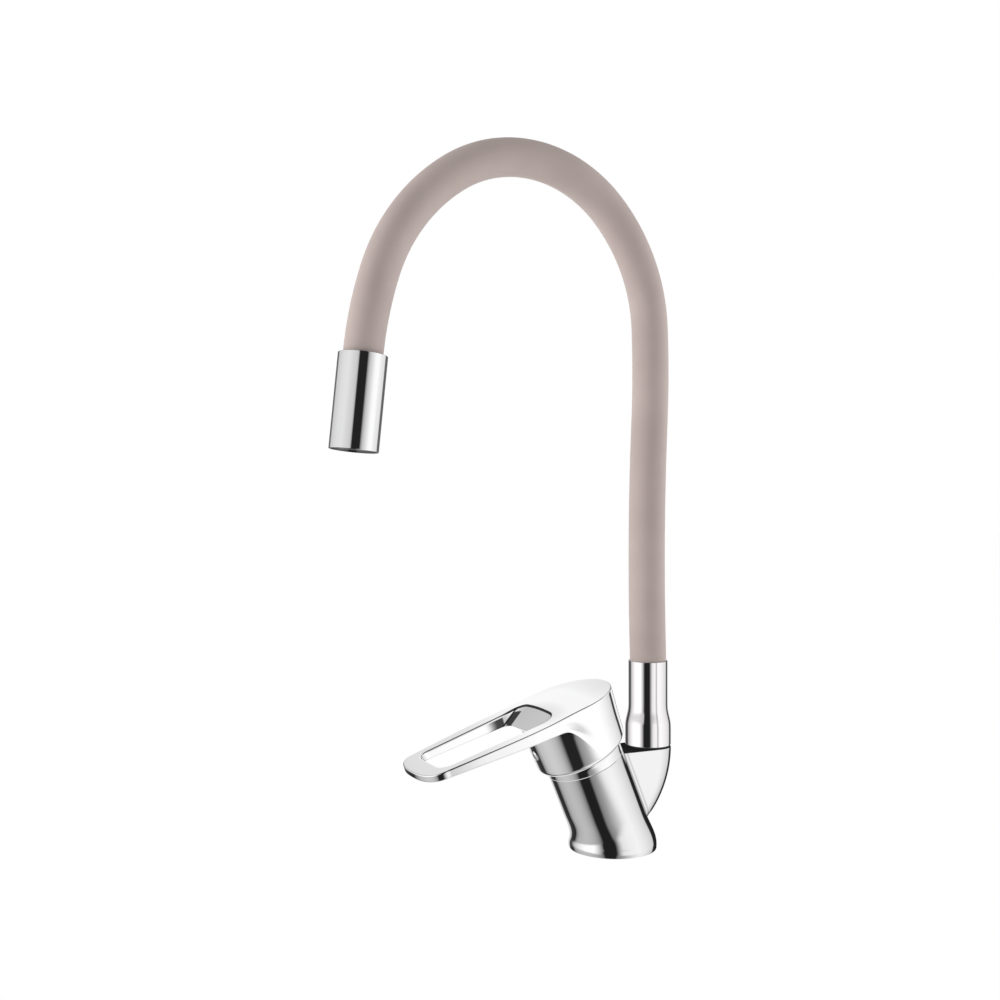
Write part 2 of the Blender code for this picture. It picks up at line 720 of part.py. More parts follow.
def cap_ring(share, inset=0.0, below=0.0):
    """A ring of the lever's cap, from the tilted skirt at share 0 to its roof at share 1."""
    roof = LEVER_TOP - PLATE_DEPTH / 2
    height = SKIRT_BOTTOM + (roof - SKIRT_BOTTOM) * share
    tilt = SKIRT_TILT + (LEVER_TILT - SKIRT_TILT) * share
    rise = share * (roof - SKIRT_BOTTOM)
    radius = SKIRT_RADIUS + (CAP_TOP_RADIUS - SKIRT_RADIUS) * share
    if rise < SKIRT_ROUND:
        turn = math.acos(1 - rise / SKIRT_ROUND)
        radius = SKIRT_LIP_RADIUS + (radius - SKIRT_LIP_RADIUS) * math.sin(turn)
    place = Matrix.Translation((0, 0, height - below)) @ Matrix.Rotation(-tilt, 4, "X")
    around = [math.tau * i / LOFT_POINTS for i in range(LOFT_POINTS)]
    across = radius - inset
    return [place @ Vector((across * math.cos(a), across * math.sin(a), 0)) for a in around]


def lever_outline():
    """The lever from above, front to -Y: a round back, straight sides, and a blunt rounded tip."""
    back = [math.pi * i / TINY_ROUND for i in range(1, TINY_ROUND)]
    points = [(PLATE_HALF * math.cos(a), PLATE_BACK * math.sin(a)) for a in back]
    corner = PLATE_LENGTH - PLATE_TIP_START
    tip = []
    for i in range(TINY_ROUND + 1):
        angle = math.pi * i / TINY_ROUND
        reach = abs(math.sin(angle)) ** TIP_BLUNT_SHARE
        swing = math.copysign(abs(math.cos(angle)) ** TIP_BLUNT_SHARE, math.cos(angle))
        tip.append((-PLATE_TIP_HALF * swing, -PLATE_TIP_START - corner * reach))
    left = [(-PLATE_HALF, 0), (-PLATE_HALF, -PLATE_STRAIGHT)]
    return [(PLATE_HALF, 0), *points, *left, *tip, (PLATE_HALF, -PLATE_STRAIGHT)]


def slot_ring(height):
    """The open loop's outline at a height. Its back end slopes, so it is shorter lower down."""
    share = (SCOOP_LIP - height) / (SCOOP_LIP + PLATE_DEPTH)
    back = SLOT_FLOOR_BACK - SCOOP_LENGTH * (1 - share)
    corner = SLOT_CORNER + (SLOT_FLOOR_CORNER - SLOT_CORNER) * share
    inset = SLOT_DRAFT * share
    half, tip_half, end = SLOT_HALF - inset, SLOT_TIP_HALF - inset, SLOT_END - inset
    points = []
    for quarter, (x, y) in enumerate(((half, -back), (-half, -back), (-tip_half, -end), (tip_half, -end))):
        centre_x = x - math.copysign(corner, x)
        centre_y = y - math.copysign(corner, y + (back + end) / 2)
        for i in range(CORNER_STEPS + 1):
            angle = math.pi / 2 * (quarter + i / CORNER_STEPS)
            out_x, out_y = corner * math.cos(angle), corner * math.sin(angle)
            points.append((centre_x + out_x, centre_y + out_y, height))
    return points


def make_lever():
    """The cast lever, the stem it grips, and the screw and plug that hold them together."""
    lever = plate("lever", lever_outline(), -PLATE_DEPTH, 0, CHROME, LEVER)
    slope = math.atan2(PLATE_DEPTH - PLATE_TIP_DEPTH, PLATE_LENGTH - SLOT_FLOOR_BACK)
    thin = block(
        "underside_taper", (-2 * PLATE_HALF, -2 * PLATE_LENGTH, -PLATE_DEPTH - 2 * PLATE_HALF),
        (2 * PLATE_HALF, 0, -PLATE_DEPTH), LEVER, turn=-slope, pivot=(0, -SLOT_FLOOR_BACK, -PLATE_DEPTH),
    )
    floor = [(x, y, -PLATE_DEPTH - OVERRUN) for x, y, _ in slot_ring(-PLATE_DEPTH)]
    slot = loft("loop_slot", [floor, slot_ring(-PLATE_DEPTH), slot_ring(OVERRUN)], parent=LEVER)
    radii = [CROWN_RADIUS * i / CROWN_RINGS for i in range(CROWN_RINGS + 1)]
    swell = [(r, CROWN_HEIGHT * (1 - (r / CROWN_RADIUS) ** 2) ** 2 - MERGE) for r in radii]
    middle = -PLATE_DEPTH / 2
    crown = turned("lever_crown", [*swell, (CROWN_RADIUS, middle), (0, middle)], parent=LEVER)
    rim = plate("crown_rim", lever_outline(), -PLATE_DEPTH, PLATE_DEPTH, parent=LEVER)
    boolean(crown, rim, "INTERSECT")
    shares = [(i / (CAP_RINGS - 1)) ** CAP_CROWDING for i in range(CAP_RINGS)]
    cap = loft("lever_cap", [cap_ring(share) for share in shares], parent=BARREL)
    roof_share = 1 - (CAP_ROOF - PLATE_DEPTH / 2) / (LEVER_TOP - SKIRT_BOTTOM)
    hollow_rings = [cap_ring(roof_share * (i + 1) / HOLLOW_RINGS, CAP_WALL) for i in range(HOLLOW_RINGS)]
    hollow = loft("lever_hollow", [cap_ring(0, 0, OVERRUN), cap_ring(0), *hollow_rings], parent=BARREL)
    boss = bar("stem_boss", (0, 0, BOSS_START), (0, 0, BOSS_END), BOSS_RADIUS, STEM)
    half = STEM_SIDE / 2 + GAP
    socket = block("stem_socket", (-half, -half, 0), (half, half, STEM_REACH + GAP), STEM)
    hole = bar(
        "screw_hole", (0, 0, SCREW_HEIGHT), (0, -2 * SKIRT_RADIUS, SCREW_HEIGHT), SCREW_RADIUS + GAP, STEM,
        TINY_ROUND,
    )
    plug_hole = bar(
        "plug_hole", (0, PLUG_DEPTH - PLUG_FACE, PLUG_HEIGHT), (0, -2 * SKIRT_RADIUS, PLUG_HEIGHT),
        PLUG_RADIUS + GAP, BARREL,
    )
    cut(lever, thin)
    join(lever, crown, cap)
    cut(lever, hollow)
    join(lever, boss)
    cut(lever, slot, socket, hole, plug_hole)

    side = STEM_SIDE / 2
    stem = block("lever_stem", (-side, -side, -BALL_DROP / 2), (side, side, STEM_REACH), STEM, STAINLESS)
    neck = bar("stem_neck", (0, 0, -BALL_DROP), (0, 0, -STEM_NECK), BALL_RADIUS - GAP, STEM, TINY_ROUND)
    turns = [math.pi * i / BALL_STEPS for i in range(BALL_STEPS + 1)]
    ball = [(BALL_RADIUS * math.sin(a), BALL_RADIUS * math.cos(a) - BALL_DROP) for a in turns]
    knob = turned("stem_ball", ball, parent=STEM, steps=TINY_ROUND)
    hole = bar("stem_pin_hole", (-half * 2, 0, 0), (half * 2, 0, 0), PIN_RADIUS + GAP, STEM, TINY_ROUND)
    join(stem, neck, knob)
    cut(stem, hole)

    tip = Vector((0, -side - GAP, SCREW_HEIGHT))
    back = tip - Vector((0, SCREW_LENGTH, 0))
    screw = bar("lever_set_screw", tip, back, SCREW_RADIUS, STEM, TINY_ROUND, STAINLESS)
    key = bar("screw_key", (tip + back) / 2, back - Vector((0, OVERRUN, 0)), SCREW_KEY, STEM, MESH_ROUND)
    cut(screw, key)
    arc = [math.pi / 2 * i / DOME_STEPS for i in range(DOME_STEPS + 1)]
    crown = [(PLUG_RADIUS * math.sin(a), PLUG_FACE - PLUG_CROWN * (1 - math.cos(a))) for a in arc]
    inner = PLUG_FACE - PLUG_DEPTH + GAP
    plug = turned(
        "index_plug", [*crown, (PLUG_RADIUS, inner), (0, inner)], STEEL, BARREL, SMALL_ROUND,
        (0, 0, PLUG_HEIGHT),
    )
    plug.rotation_euler = (math.pi / 2, 0, 0)


def hose_place(distance):
    """(place, direction) on the hose's centre line, this far above the coupling sleeve's top."""
    y, z, heading = SPOUT_BACK, SLEEVE_TOP, 0.0
    if distance < 0:
        return Vector((0, y, z + distance)), Vector((0, 0, 1))
    left = distance
    for share, turn in zip(ARC_SHARES, ARC_TURNS):
        run = HOSE_LENGTH * share
        part = min(left, run) / run
        radius = run / turn
        new_heading = heading + turn * part
        y += radius * (math.cos(new_heading) - math.cos(heading))
        z += radius * (math.sin(new_heading) - math.sin(heading))
        heading = new_heading
        left -= min(left, run)
    direction = Vector((0, -math.sin(heading), math.cos(heading)))
    return Vector((0, y, z)) + direction * left, direction


def hose_points(start, end):
    """Points on the centre line: its arcs' ends, and enough between them that no chord sags too far."""
    stops = []
    far = 0.0
    for share, turn in zip(ARC_SHARES, ARC_TURNS):
        run = HOSE_LENGTH * share
        step = 2 * math.acos(1 - HOSE_SAG * abs(turn) / run)
        count = math.ceil(abs(turn) / step)
        stops += [far + run * i / count for i in range(count)]
        far += run
    least = HOSE_RADIUS / 2
    inner = [stop for stop in [*stops, far] if start + least < stop < end - least]
    return [hose_place(distance)[0] for distance in (start, *inner, end)]


def make_spout_base():
    """The slip washer, the nipple with its rings and clip, and the coupling sleeve over them."""
    washer_low = ARM_TOP + GAP
    washer_top = washer_low + WASHER_THICK
    washer = ring_profile(WASHER_RADIUS, SOCKET_RADIUS + GAP, washer_low, washer_top)
    turned("slip_washer", washer, NYLON, SPOUT)
    base = washer_top + GAP
    flange_top = base + FLANGE_THICK
    stem = SOCKET_RADIUS - GAP
    bed = stem - RING_CORD - GAP
    half = RING_CORD / 2 + GAP
    outside = [
        (TAIL_RADIUS, TAIL_TOP), (TAIL_RADIUS, NIPPLE_TOP), (NIPPLE_NECK_RADIUS, NIPPLE_TOP),
        (NIPPLE_NECK_RADIUS, THREAD_TOP), (THREAD_RADIUS, THREAD_TOP), (THREAD_RADIUS, flange_top),
        (FLANGE_RADIUS, flange_top), (FLANGE_RADIUS, base), (stem, base),
        (stem, CLIP_HEIGHT + CLIP_THICK + GAP), (bed, CLIP_HEIGHT + CLIP_THICK + GAP),
        (bed, CLIP_HEIGHT - GAP), (stem, CLIP_HEIGHT - GAP),
    ]
    for height in (RING_HIGH, RING_LOW):
        high, low = height + half, height - half
        outside += [(stem, high), (bed, high), (bed, low), (stem, low)]
    low = SOCKET_FLOOR + GAP
    inside = [
        (stem, low), (NIPPLE_BORE, low), (NIPPLE_BORE, NIPPLE_TOP - OVERRUN), (TAIL_BORE, NIPPLE_TOP),
        (TAIL_BORE, TAIL_TOP),
    ]
    turned("spout_nipple", outside + inside, BRASS, SPOUT, SMALL_ROUND)
    for name, height in (("upper_o_ring", RING_HIGH), ("lower_o_ring", RING_LOW)):
        centre = stem - RING_CORD / 2
        cord = RING_CORD / 2
        circle = [math.tau * i / CORD_ROUND for i in range(CORD_ROUND)]
        profile = [(centre + cord * math.cos(a), height - cord * math.sin(a)) for a in circle]
        turned(name, profile, RUBBER, SPOUT, SMALL_ROUND)
    clip = turned(
        "retaining_clip",
        ring_profile(SOCKET_RADIUS + CLIP_DEPTH - GAP, bed + GAP, CLIP_HEIGHT, CLIP_HEIGHT + CLIP_THICK),
        STAINLESS, SPOUT, SMALL_ROUND,
    )
    mouth = math.tan(CLIP_GAP_ANGLE / 2) * SOCKET_RADIUS
    far = Vector((mouth, 2 * SOCKET_RADIUS, CLIP_HEIGHT + OVERRUN))
    opening = block("clip_opening", (-mouth, 0, CLIP_HEIGHT - OVERRUN), far, SPOUT)
    cut(clip, opening)

    thread = THREAD_RADIUS + GAP
    hose = HOSE_RADIUS + GAP
    turned(
        "coupling_sleeve",
        [
            (SLEEVE_TOP_RADIUS, SLEEVE_TOP), (SLEEVE_TOP_RADIUS, SLEEVE_HIGH), (SLEEVE_RADIUS, SLEEVE_LOW),
            (SLEEVE_RADIUS, base), (FLANGE_RADIUS + GAP, base), (FLANGE_RADIUS + GAP, flange_top + GAP),
            (thread, flange_top + GAP), (thread, COLLAR_TOP), (hose, COLLAR_TOP), (hose, SLEEVE_TOP),
        ],
        STEEL, SPOUT,
    )
    core = CORE_RADIUS + GAP
    shelf = NIPPLE_TOP + GAP
    turned(
        "gooseneck_lower_collar",
        [
            (THREAD_RADIUS, COLLAR_TOP), (THREAD_RADIUS, shelf), (TUBE_RADIUS + GAP, shelf),
            (TUBE_RADIUS + GAP, shelf + COLLAR_SHELF), (core, shelf + COLLAR_SHELF), (core, COLLAR_TOP),
        ],
        BRASS, SPOUT, SMALL_ROUND,
    )


def hose_stretch(number, start, end):
    """One stretch of the silicone sleeve. Its far end is a ball zone, its near end a cup round one."""
    name = f"hose_sleeve_{number}"
    first, last = number == 0, number == len(HINGE_SHARES)
    points = hose_points(start, end)
    swells = [1.0] * len(points)
    hinge, direction = hose_place(end)
    if not last:
        for i in range(1, BALL_ZONE_STEPS + 1):
            angle = BALL_ZONE * i / BALL_ZONE_STEPS
            points.append(hinge + direction * HOSE_RADIUS * math.sin(angle))
            swells.append(math.cos(angle))
    origin = hose_place(start)[0]
    sleeve = tube(name, points, HOSE_RADIUS, swells, SILICONE, origin=origin)
    reach = HOSE_RADIUS + OVERRUN
    bore_line = hose_points(start - reach, end + reach)
    bore = tube(f"{name}_bore", bore_line, HOSE_RADIUS - HOSE_WALL, sides=TINY_ROUND)
    cut(sleeve, bore)
    if not first:
        def build(shape):
            bmesh.ops.create_uvsphere(
                shape, u_segments=SMALL_ROUND, v_segments=SMALL_ROUND // 2, radius=HOSE_RADIUS + GAP,
                matrix=Matrix.Translation(origin) @ Matrix.Rotation(math.pi / 2, 4, "Y"),
            )

        cut(sleeve, add(f"{name}_cup", mesh_of(name, build)))


def make_hose():
    """The silicone sleeve in stretches, and the steel gooseneck and water tube inside it."""
    seat = COLLAR_TOP + GAP - SLEEVE_TOP
    end = HOSE_LENGTH + HOSE_SEAT - GAP
    hinges = [HOSE_LENGTH * share for share in HINGE_SHARES]
    for number, (start, stop) in enumerate(zip([seat, *hinges], [*hinges, end])):
        hose_stretch(number, start, stop)
    low = NIPPLE_TOP + GAP - SLEEVE_TOP
    core_low = low + COLLAR_SHELF + GAP
    core_end = HOSE_LENGTH + HOSE_SEAT + CORE_SEAT - GAP
    for name, start, radius, wall, look in (
        ("gooseneck_core", core_low, CORE_RADIUS, CORE_WALL, STAINLESS),
        ("water_tube", low, TUBE_RADIUS, TUBE_WALL, CLEAR_TUBE),
    ):
        piece = tube(name, hose_points(start, core_end), radius, look=look, sides=TINY_ROUND)
        reach = hose_points(start - OVERRUN, core_end + OVERRUN)
        cut(piece, tube(f"{name}_bore", reach, radius - wall, sides=TINY_ROUND))


def make_nozzle():
    """The spray head: shell, collar, washer and aerator, from the hose's end down the nozzle's axis."""
    collar_top = HOSE_SEAT + GAP
    collar_end = collar_top + HEAD_COLLAR_LENGTH
    washer_end = collar_end + GAP + HEAD_WASHER
    web = washer_end + GAP
    web_end = web + NOZZLE_WEB
    seal_end = web_end + GAP + AERATOR_SEAL
    case = seal_end + GAP
    case_end = NOZZLE_LENGTH - AERATOR_RECESS
    thread = THREAD_RADIUS + GAP
    hose = HOSE_RADIUS + GAP
    chamfer = NOZZLE_CHAMFER

    def head(name, profile, look, steps=ROUND):
        return turned(name, [(radius, -depth) for radius, depth in profile], look, NOZZLE, steps)

    head(
        "nozzle_shell",
        [
            (NOZZLE_RADIUS - chamfer, 0), (NOZZLE_RADIUS, chamfer),
            (NOZZLE_RADIUS, NOZZLE_LENGTH - chamfer), (NOZZLE_RADIUS - chamfer, NOZZLE_LENGTH),
            (AERATOR_THREAD, NOZZLE_LENGTH),
            (AERATOR_THREAD, web_end), (NOZZLE_WEB_HOLE, web_end), (NOZZLE_WEB_HOLE, web),
            (thread, web), (thread, HOSE_SEAT), (hose, HOSE_SEAT), (hose, 0),
        ],
        CHROME,
    )
    core = CORE_RADIUS + GAP
    core_floor = HOSE_SEAT + CORE_SEAT
    tail_top = HOSE_SEAT - HEAD_TAIL
    head(
        "gooseneck_head_collar",
        [
            (TAIL_RADIUS, tail_top), (TAIL_RADIUS, core_floor), (core, core_floor), (core, collar_top),
            (THREAD_RADIUS, collar_top), (THREAD_RADIUS, collar_end), (TAIL_BORE, collar_end),
            (TAIL_BORE, tail_top),
        ],
        BRASS, SMALL_ROUND,
    )

    def ring(name, outer, inner, top, bottom, look, steps=SMALL_ROUND):
        return head(name, [(outer, top), (outer, bottom), (inner, bottom), (inner, top)], look, steps)

    ring("head_washer", THREAD_RADIUS - GAP, NOZZLE_WEB_HOLE, collar_end + GAP, washer_end, RUBBER)
    case_radius = AERATOR_THREAD - GAP
    case_bore = case_radius - AERATOR_WALL
    ring("aerator_seal", case_radius, case_bore - AERATOR_WALL, web_end + GAP, seal_end, RUBBER)
    lip = case_bore - AERATOR_LIP
    lip_top = case_end - AERATOR_LIP_DEPTH
    head(
        "aerator_housing",
        [
            (case_radius, case), (case_radius, case_end), (lip, case_end), (lip, lip_top),
            (case_bore, lip_top), (case_bore, case),
        ],
        STEEL,
    )
    inner = case_bore - GAP
    screen_end = case + SCREEN_THICK
    screen = [(0, case), (inner, case), (inner, screen_end), (0, screen_end)]
    head("inlet_screen", screen, STAINLESS, SMALL_ROUND)
    top = screen_end + GAP
    insert_end = top + INSERT_LENGTH
    insert = head(
        "aerator_insert",
        [
            (0, top), (inner, top), (inner, insert_end), (inner - AERATOR_WALL, insert_end),
            (inner - AERATOR_WALL, top + INSERT_FLOOR), (0, top + INSERT_FLOOR),
        ],
        ACETAL, SMALL_ROUND,
    )
    jets = inner - AERATOR_WALL - 2 * INSERT_JET
    for i in range(INSERT_JETS):
        angle = math.tau * i / INSERT_JETS
        x, y = jets * math.cos(angle), jets * math.sin(angle)
        jet = bar(f"insert_jet_{i}", (x, y, -case), (x, y, -insert_end), INSERT_JET, NOZZLE, JET_ROUND)
        cut(insert, jet)
    mesh_end = lip_top - GAP
    mesh_top = mesh_end - MESH_THICK
    disc = [(0, mesh_top), (inner, mesh_top), (inner, mesh_end), (0, mesh_end)]
    mesh = head("outlet_mesh", disc, STAINLESS, SMALL_ROUND)
    pitch = (lip - MESH_HOLE) / MESH_RINGS
    for number in range(1, MESH_RINGS + 1):
        count = MESH_RING_HOLES * number
        for i in range(count):
            angle = math.tau * i / count
            x, y = number * pitch * math.cos(angle), number * pitch * math.sin(angle)
            name = f"mesh_hole_{number}_{i}"
            cut(mesh, bar(name, (x, y, -insert_end), (x, y, -NOZZLE_LENGTH), MESH_HOLE, NOZZLE, MESH_ROUND))


clear_scene()
PARTS = collection("flexible_tap")
CUTTERS = collection("cutters", hidden=True)
BARREL = frame("barrel_axis", (0, BARREL_BACK, 0), LEAN)
LEVER = frame("lever_plane", (0, 0, LEVER_TOP), -LEVER_TILT, BARREL)
STEM = frame("stem_pivot", (0, 0, PIVOT), LIFT / 2, BARREL)
SPOUT = frame("spout_axis", (0, SPOUT_BACK, 0))
NOZZLE_PLACE, NOZZLE_WAY = hose_place(HOSE_LENGTH)
NOZZLE = frame("nozzle_axis", NOZZLE_PLACE, math.atan2(NOZZLE_WAY.y, -NOZZLE_WAY.z))
bpy.context.view_layer.update()
make_body()
make_cartridge()
make_dome()
make_lever()
make_spout_base()
make_hose()
make_nozzle()
bpy.context.view_layer.update()
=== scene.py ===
import json
import math

import bmesh
import bpy
from mathutils import Matrix, Vector

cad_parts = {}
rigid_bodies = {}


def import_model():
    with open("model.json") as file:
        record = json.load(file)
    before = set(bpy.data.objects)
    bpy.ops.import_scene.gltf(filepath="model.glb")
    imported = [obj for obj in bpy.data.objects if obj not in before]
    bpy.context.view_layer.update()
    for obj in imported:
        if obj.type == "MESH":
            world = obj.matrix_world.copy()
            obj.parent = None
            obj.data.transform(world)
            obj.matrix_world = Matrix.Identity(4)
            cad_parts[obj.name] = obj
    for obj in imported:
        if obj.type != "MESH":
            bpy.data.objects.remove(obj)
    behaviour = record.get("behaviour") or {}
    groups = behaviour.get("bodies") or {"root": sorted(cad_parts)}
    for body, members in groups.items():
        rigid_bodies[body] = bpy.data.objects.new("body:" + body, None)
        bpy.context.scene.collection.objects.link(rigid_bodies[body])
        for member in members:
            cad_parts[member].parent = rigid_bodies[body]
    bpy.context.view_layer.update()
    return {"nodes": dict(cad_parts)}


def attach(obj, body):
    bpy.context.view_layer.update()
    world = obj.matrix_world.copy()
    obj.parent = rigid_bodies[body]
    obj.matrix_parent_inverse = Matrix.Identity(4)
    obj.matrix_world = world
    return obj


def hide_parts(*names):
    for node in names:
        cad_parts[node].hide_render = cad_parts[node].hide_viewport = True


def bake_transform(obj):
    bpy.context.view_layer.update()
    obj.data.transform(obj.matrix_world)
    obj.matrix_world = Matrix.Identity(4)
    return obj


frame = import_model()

MM = 0.001


# The view: the tap stands three quarters to the left, seen level with the middle of its spout,
# from so far away that its upright lines stay upright.
VIEW_AZIMUTH = math.radians(64)
VIEW_DISTANCE = 690 * MM
VIEW_HEIGHT = 202.5 * MM
VIEW_ASIDE = -65.7 * MM
VIEW_NEAREST = 20 * MM
LENS_LENGTH = 42.48
LENS_SENSOR = 36
TO_CAMERA = Vector((math.sin(VIEW_AZIMUTH), -math.cos(VIEW_AZIMUTH), 0))
TO_RIGHT = Vector((math.cos(VIEW_AZIMUTH), math.sin(VIEW_AZIMUTH), 0))

camera_data = bpy.data.cameras.new("camera")
camera_data.lens = LENS_LENGTH
camera_data.sensor_width = LENS_SENSOR
camera_data.clip_start = VIEW_NEAREST
camera = bpy.data.objects.new("camera", camera_data)
bpy.context.scene.collection.objects.link(camera)
camera.location = TO_CAMERA * VIEW_DISTANCE + TO_RIGHT * VIEW_ASIDE + Vector((0, 0, VIEW_HEIGHT))
camera.rotation_euler = (math.pi / 2, 0, VIEW_AZIMUTH)
bpy.context.scene.camera = camera
bpy.context.scene.view_settings.view_transform = "Standard"


# The studio: a white floor, a white world and two large soft lamps, one on each side. The chrome
# sees a round tent of white cloth with a few black panels, under a dark ceiling.
class Wire:
    """A shader's socket, on which sums are written as on numbers."""

    def __init__(self, tree, socket):
        self.tree = tree
        self.socket = socket

    def math(self, operation, *values):
        return self.tree.node("ShaderNodeMath", {"operation": operation}, values)

    def __add__(self, other):
        return self.math("ADD", self, other)

    def __radd__(self, other):
        return self.math("ADD", other, self)

    def __sub__(self, other):
        return self.math("SUBTRACT", self, other)

    def __rsub__(self, other):
        return self.math("SUBTRACT", other, self)

    def __mul__(self, other):
        return self.math("MULTIPLY", self, other)

    def __rmul__(self, other):
        return self.math("MULTIPLY", other, self)

    def __truediv__(self, other):
        return self.math("DIVIDE", self, other)

    def most(self, other):
        """The larger of the two."""
        return self.math("MAXIMUM", self, other)


class Nodes:
    """The nodes of one material or world."""

    def __init__(self, owner):
        owner.use_nodes = True
        self.tree = owner.node_tree
        self.tree.nodes.clear()

    def node(self, kind, settings=None, inputs=None, output=0):
        """A node with these settings and the values or wires of its sockets, as a wire."""
        made = self.tree.nodes.new(kind)
        for key, value in (settings or {}).items():
            if key == "stops":
                while len(made.color_ramp.elements) < len(value):
                    made.color_ramp.elements.new(1)
                for stop, (position, tone) in zip(made.color_ramp.elements, value):
                    stop.position = position
                    stop.color = (tone, tone, tone, 1)
            else:
                setattr(made, key, value)
        pairs = inputs.items() if isinstance(inputs, dict) else enumerate(inputs or ())
        for key, value in pairs:
            if isinstance(value, Wire):
                self.tree.links.new(value.socket, made.inputs[key])
            else:
                made.inputs[key].default_value = value
        return Wire(self, made.outputs[output]) if len(made.outputs) else None

    def step(self, value, low, high):
        """0 below low, 1 above high, and a smooth rise between them."""
        inputs = {"Value": value, "From Min": low, "From Max": high}
        return self.node("ShaderNodeMapRange", {"interpolation_type": "SMOOTHSTEP"}, inputs)

    def band(self, value, rise, fall):
        """1 from the end of the rise to the start of the fall, and 0 outside them."""
        return self.step(value, *rise) * (1 - self.step(value, *fall))

    def noise(self, place, scale, detail=2.0, roughness=0.5):
        inputs = {"Vector": place, "Scale": scale, "Detail": detail, "Roughness": roughness}
        return self.node("ShaderNodeTexNoise", {}, inputs)

    def blend(self, share, first, second):
        """A colour between two, by a share."""
        inputs = {0: share, 6: first, 7: second}
        return self.node("ShaderNodeMix", {"data_type": "RGBA"}, inputs, 2)

    def vector(self, operation, first, second=(0, 0, 0)):
        """Vector sums: a dot product or a length comes out as a number."""
        output = 1 if operation in ("DOT_PRODUCT", "LENGTH") else 0
        inputs = {0: first, 1: second}
        return self.node("ShaderNodeVectorMath", {"operation": operation}, inputs, output)

    def along(self, place, axis):
        """One of a place's three coordinates."""
        return self.node("ShaderNodeSeparateXYZ", {}, {0: place}, axis)

    def place(self):
        return self.node("ShaderNodeTexCoord", output=3)

    def scaled(self, place, scale):
        return self.node("ShaderNodeMapping", {}, {"Vector": place, "Scale": scale})

    def bump(self, strength, distance, height):
        inputs = {"Strength": strength, "Distance": distance, "Height": height}
        return self.node("ShaderNodeBump", {}, inputs)

    def facing(self):
        """0 where the surface faces the eye, and 1 at its edge."""
        return self.node("ShaderNodeLayerWeight", {}, {"Blend": 0.5}, 1)

    def seen(self):
        """1 where the eye looks straight at the surface, and 0 in its light and mirror image."""
        return self.node("ShaderNodeLightPath", output=0)

    def finish(self, inputs):
        """The material's surface, from the sockets of one Principled shader."""
        shader = self.node("ShaderNodeBsdfPrincipled", {}, inputs)
        self.node("ShaderNodeOutputMaterial", {}, {"Surface": shader})


WHITE = (1, 1, 1, 1)
FILL_LIGHT = 0.52

world = bpy.data.worlds.new("studio")
bpy.context.scene.world = world
sky = Nodes(world)
seen = sky.seen()
mirrored = sky.node("ShaderNodeLightPath", output=3)
plain = sky.node("ShaderNodeBackground", {}, {"Color": WHITE, "Strength": 1.0})
fill = sky.node("ShaderNodeBackground", {}, {"Color": WHITE, "Strength": FILL_LIGHT})
direct = seen.most(mirrored)
mixed = sky.node("ShaderNodeMixShader", {}, {0: direct, 1: fill, 2: plain})
sky.node("ShaderNodeOutputWorld", {}, {"Surface": mixed})

# The tent's cloth and panels at three heights, each as the places where a tone starts or ends:
# (degrees off the camera's line, brightness). They fade into one another between the heights.
TENT_RADIUS = 390 * MM
TENT_HEIGHT = 1800 * MM
TENT_CENTRE = TO_RIGHT * (-60 * MM)
LOW_PANELS = (
    (-180, 0.80), (-159, 0.70), (-154, 0.06), (-129, 0.02), (-121, 0.32), (-108, 0.53),
    (-80, 0.62), (-60, 0.60), (-46, 0.54), (-36, 0.47), (-24, 0.30), (-14, 0.017), (12, 0.017),
    (18, 0.25), (30, 0.40), (41, 0.62), (55, 0.86), (70, 1.06), (84, 1.0), (104, 0.76),
    (118, 0.55), (123, 0.04), (134, 0.04), (140, 0.80), (180, 0.80),
)
MIDDLE_PANELS = (
    (-180, 0.85), (-163, 0.80), (-157, 0.06), (-138, 0.12), (-130, 0.5), (-113, 0.82),
    (-90, 1.12), (-74, 1.25), (-46, 1.25), (-34, 0.85), (-26, 0.48), (-17, 0.017), (14, 0.017),
    (19, 0.25), (26, 0.68), (32, 0.95), (46, 1.06), (68, 1.12), (84, 1.02), (104, 0.86),
    (119, 0.72), (124, 0.03), (131, 0.03), (136, 0.95), (150, 0.95), (155, 0.03), (167, 0.03),
    (173, 0.85), (180, 0.85),
)
HIGH_PANELS = (
    (-180, 1.0), (-170, 1.0), (-163, 0.82), (-154, 0.78), (-146, 0.55), (-130, 0.60),
    (-100, 0.66), (-75, 0.78), (-52, 0.82), (-38, 0.72), (-27, 0.66), (-20, 0.55), (-16, 0.017),
    (15, 0.017), (20, 0.32), (26, 0.54), (40, 0.76), (58, 1.02), (78, 1.06), (95, 0.90),
    (131, 0.78), (137, 0.04), (180, 1.0),
)
CEILING = (0.02, 0.02, 0.02, 1)
GROUND = (0.38, 0.38, 0.38, 1)
LOW_FADE = (-120 * MM, -30 * MM)
HIGH_FADE = (95 * MM, 185 * MM)
CEILING_FADE = (590 * MM, 680 * MM)
GROUND_FADE = (-880 * MM, -640 * MM)

tent_shape = bmesh.new()
bmesh.ops.create_cone(
    tent_shape, segments=128, cap_ends=True, radius1=TENT_RADIUS, radius2=TENT_RADIUS,
    depth=TENT_HEIGHT, matrix=Matrix.Translation(TENT_CENTRE),
)
bmesh.ops.reverse_faces(tent_shape, faces=tent_shape.faces)
tent_mesh = bpy.data.meshes.new("tent")
tent_shape.to_mesh(tent_mesh)
tent_shape.free()
tent = bpy.data.objects.new("tent", tent_mesh)
bpy.context.scene.collection.objects.link(tent)
tent.visible_camera = False
tent.visible_diffuse = False
tent.visible_shadow = False
tent.visible_transmission = False
tent_look = bpy.data.materials.new("tent")
cloth = Nodes(tent_look)
spot = cloth.vector("SUBTRACT", cloth.place(), TENT_CENTRE)
aside = cloth.vector("DOT_PRODUCT", spot, TO_RIGHT)
ahead = cloth.vector("DOT_PRODUCT", spot, TO_CAMERA)
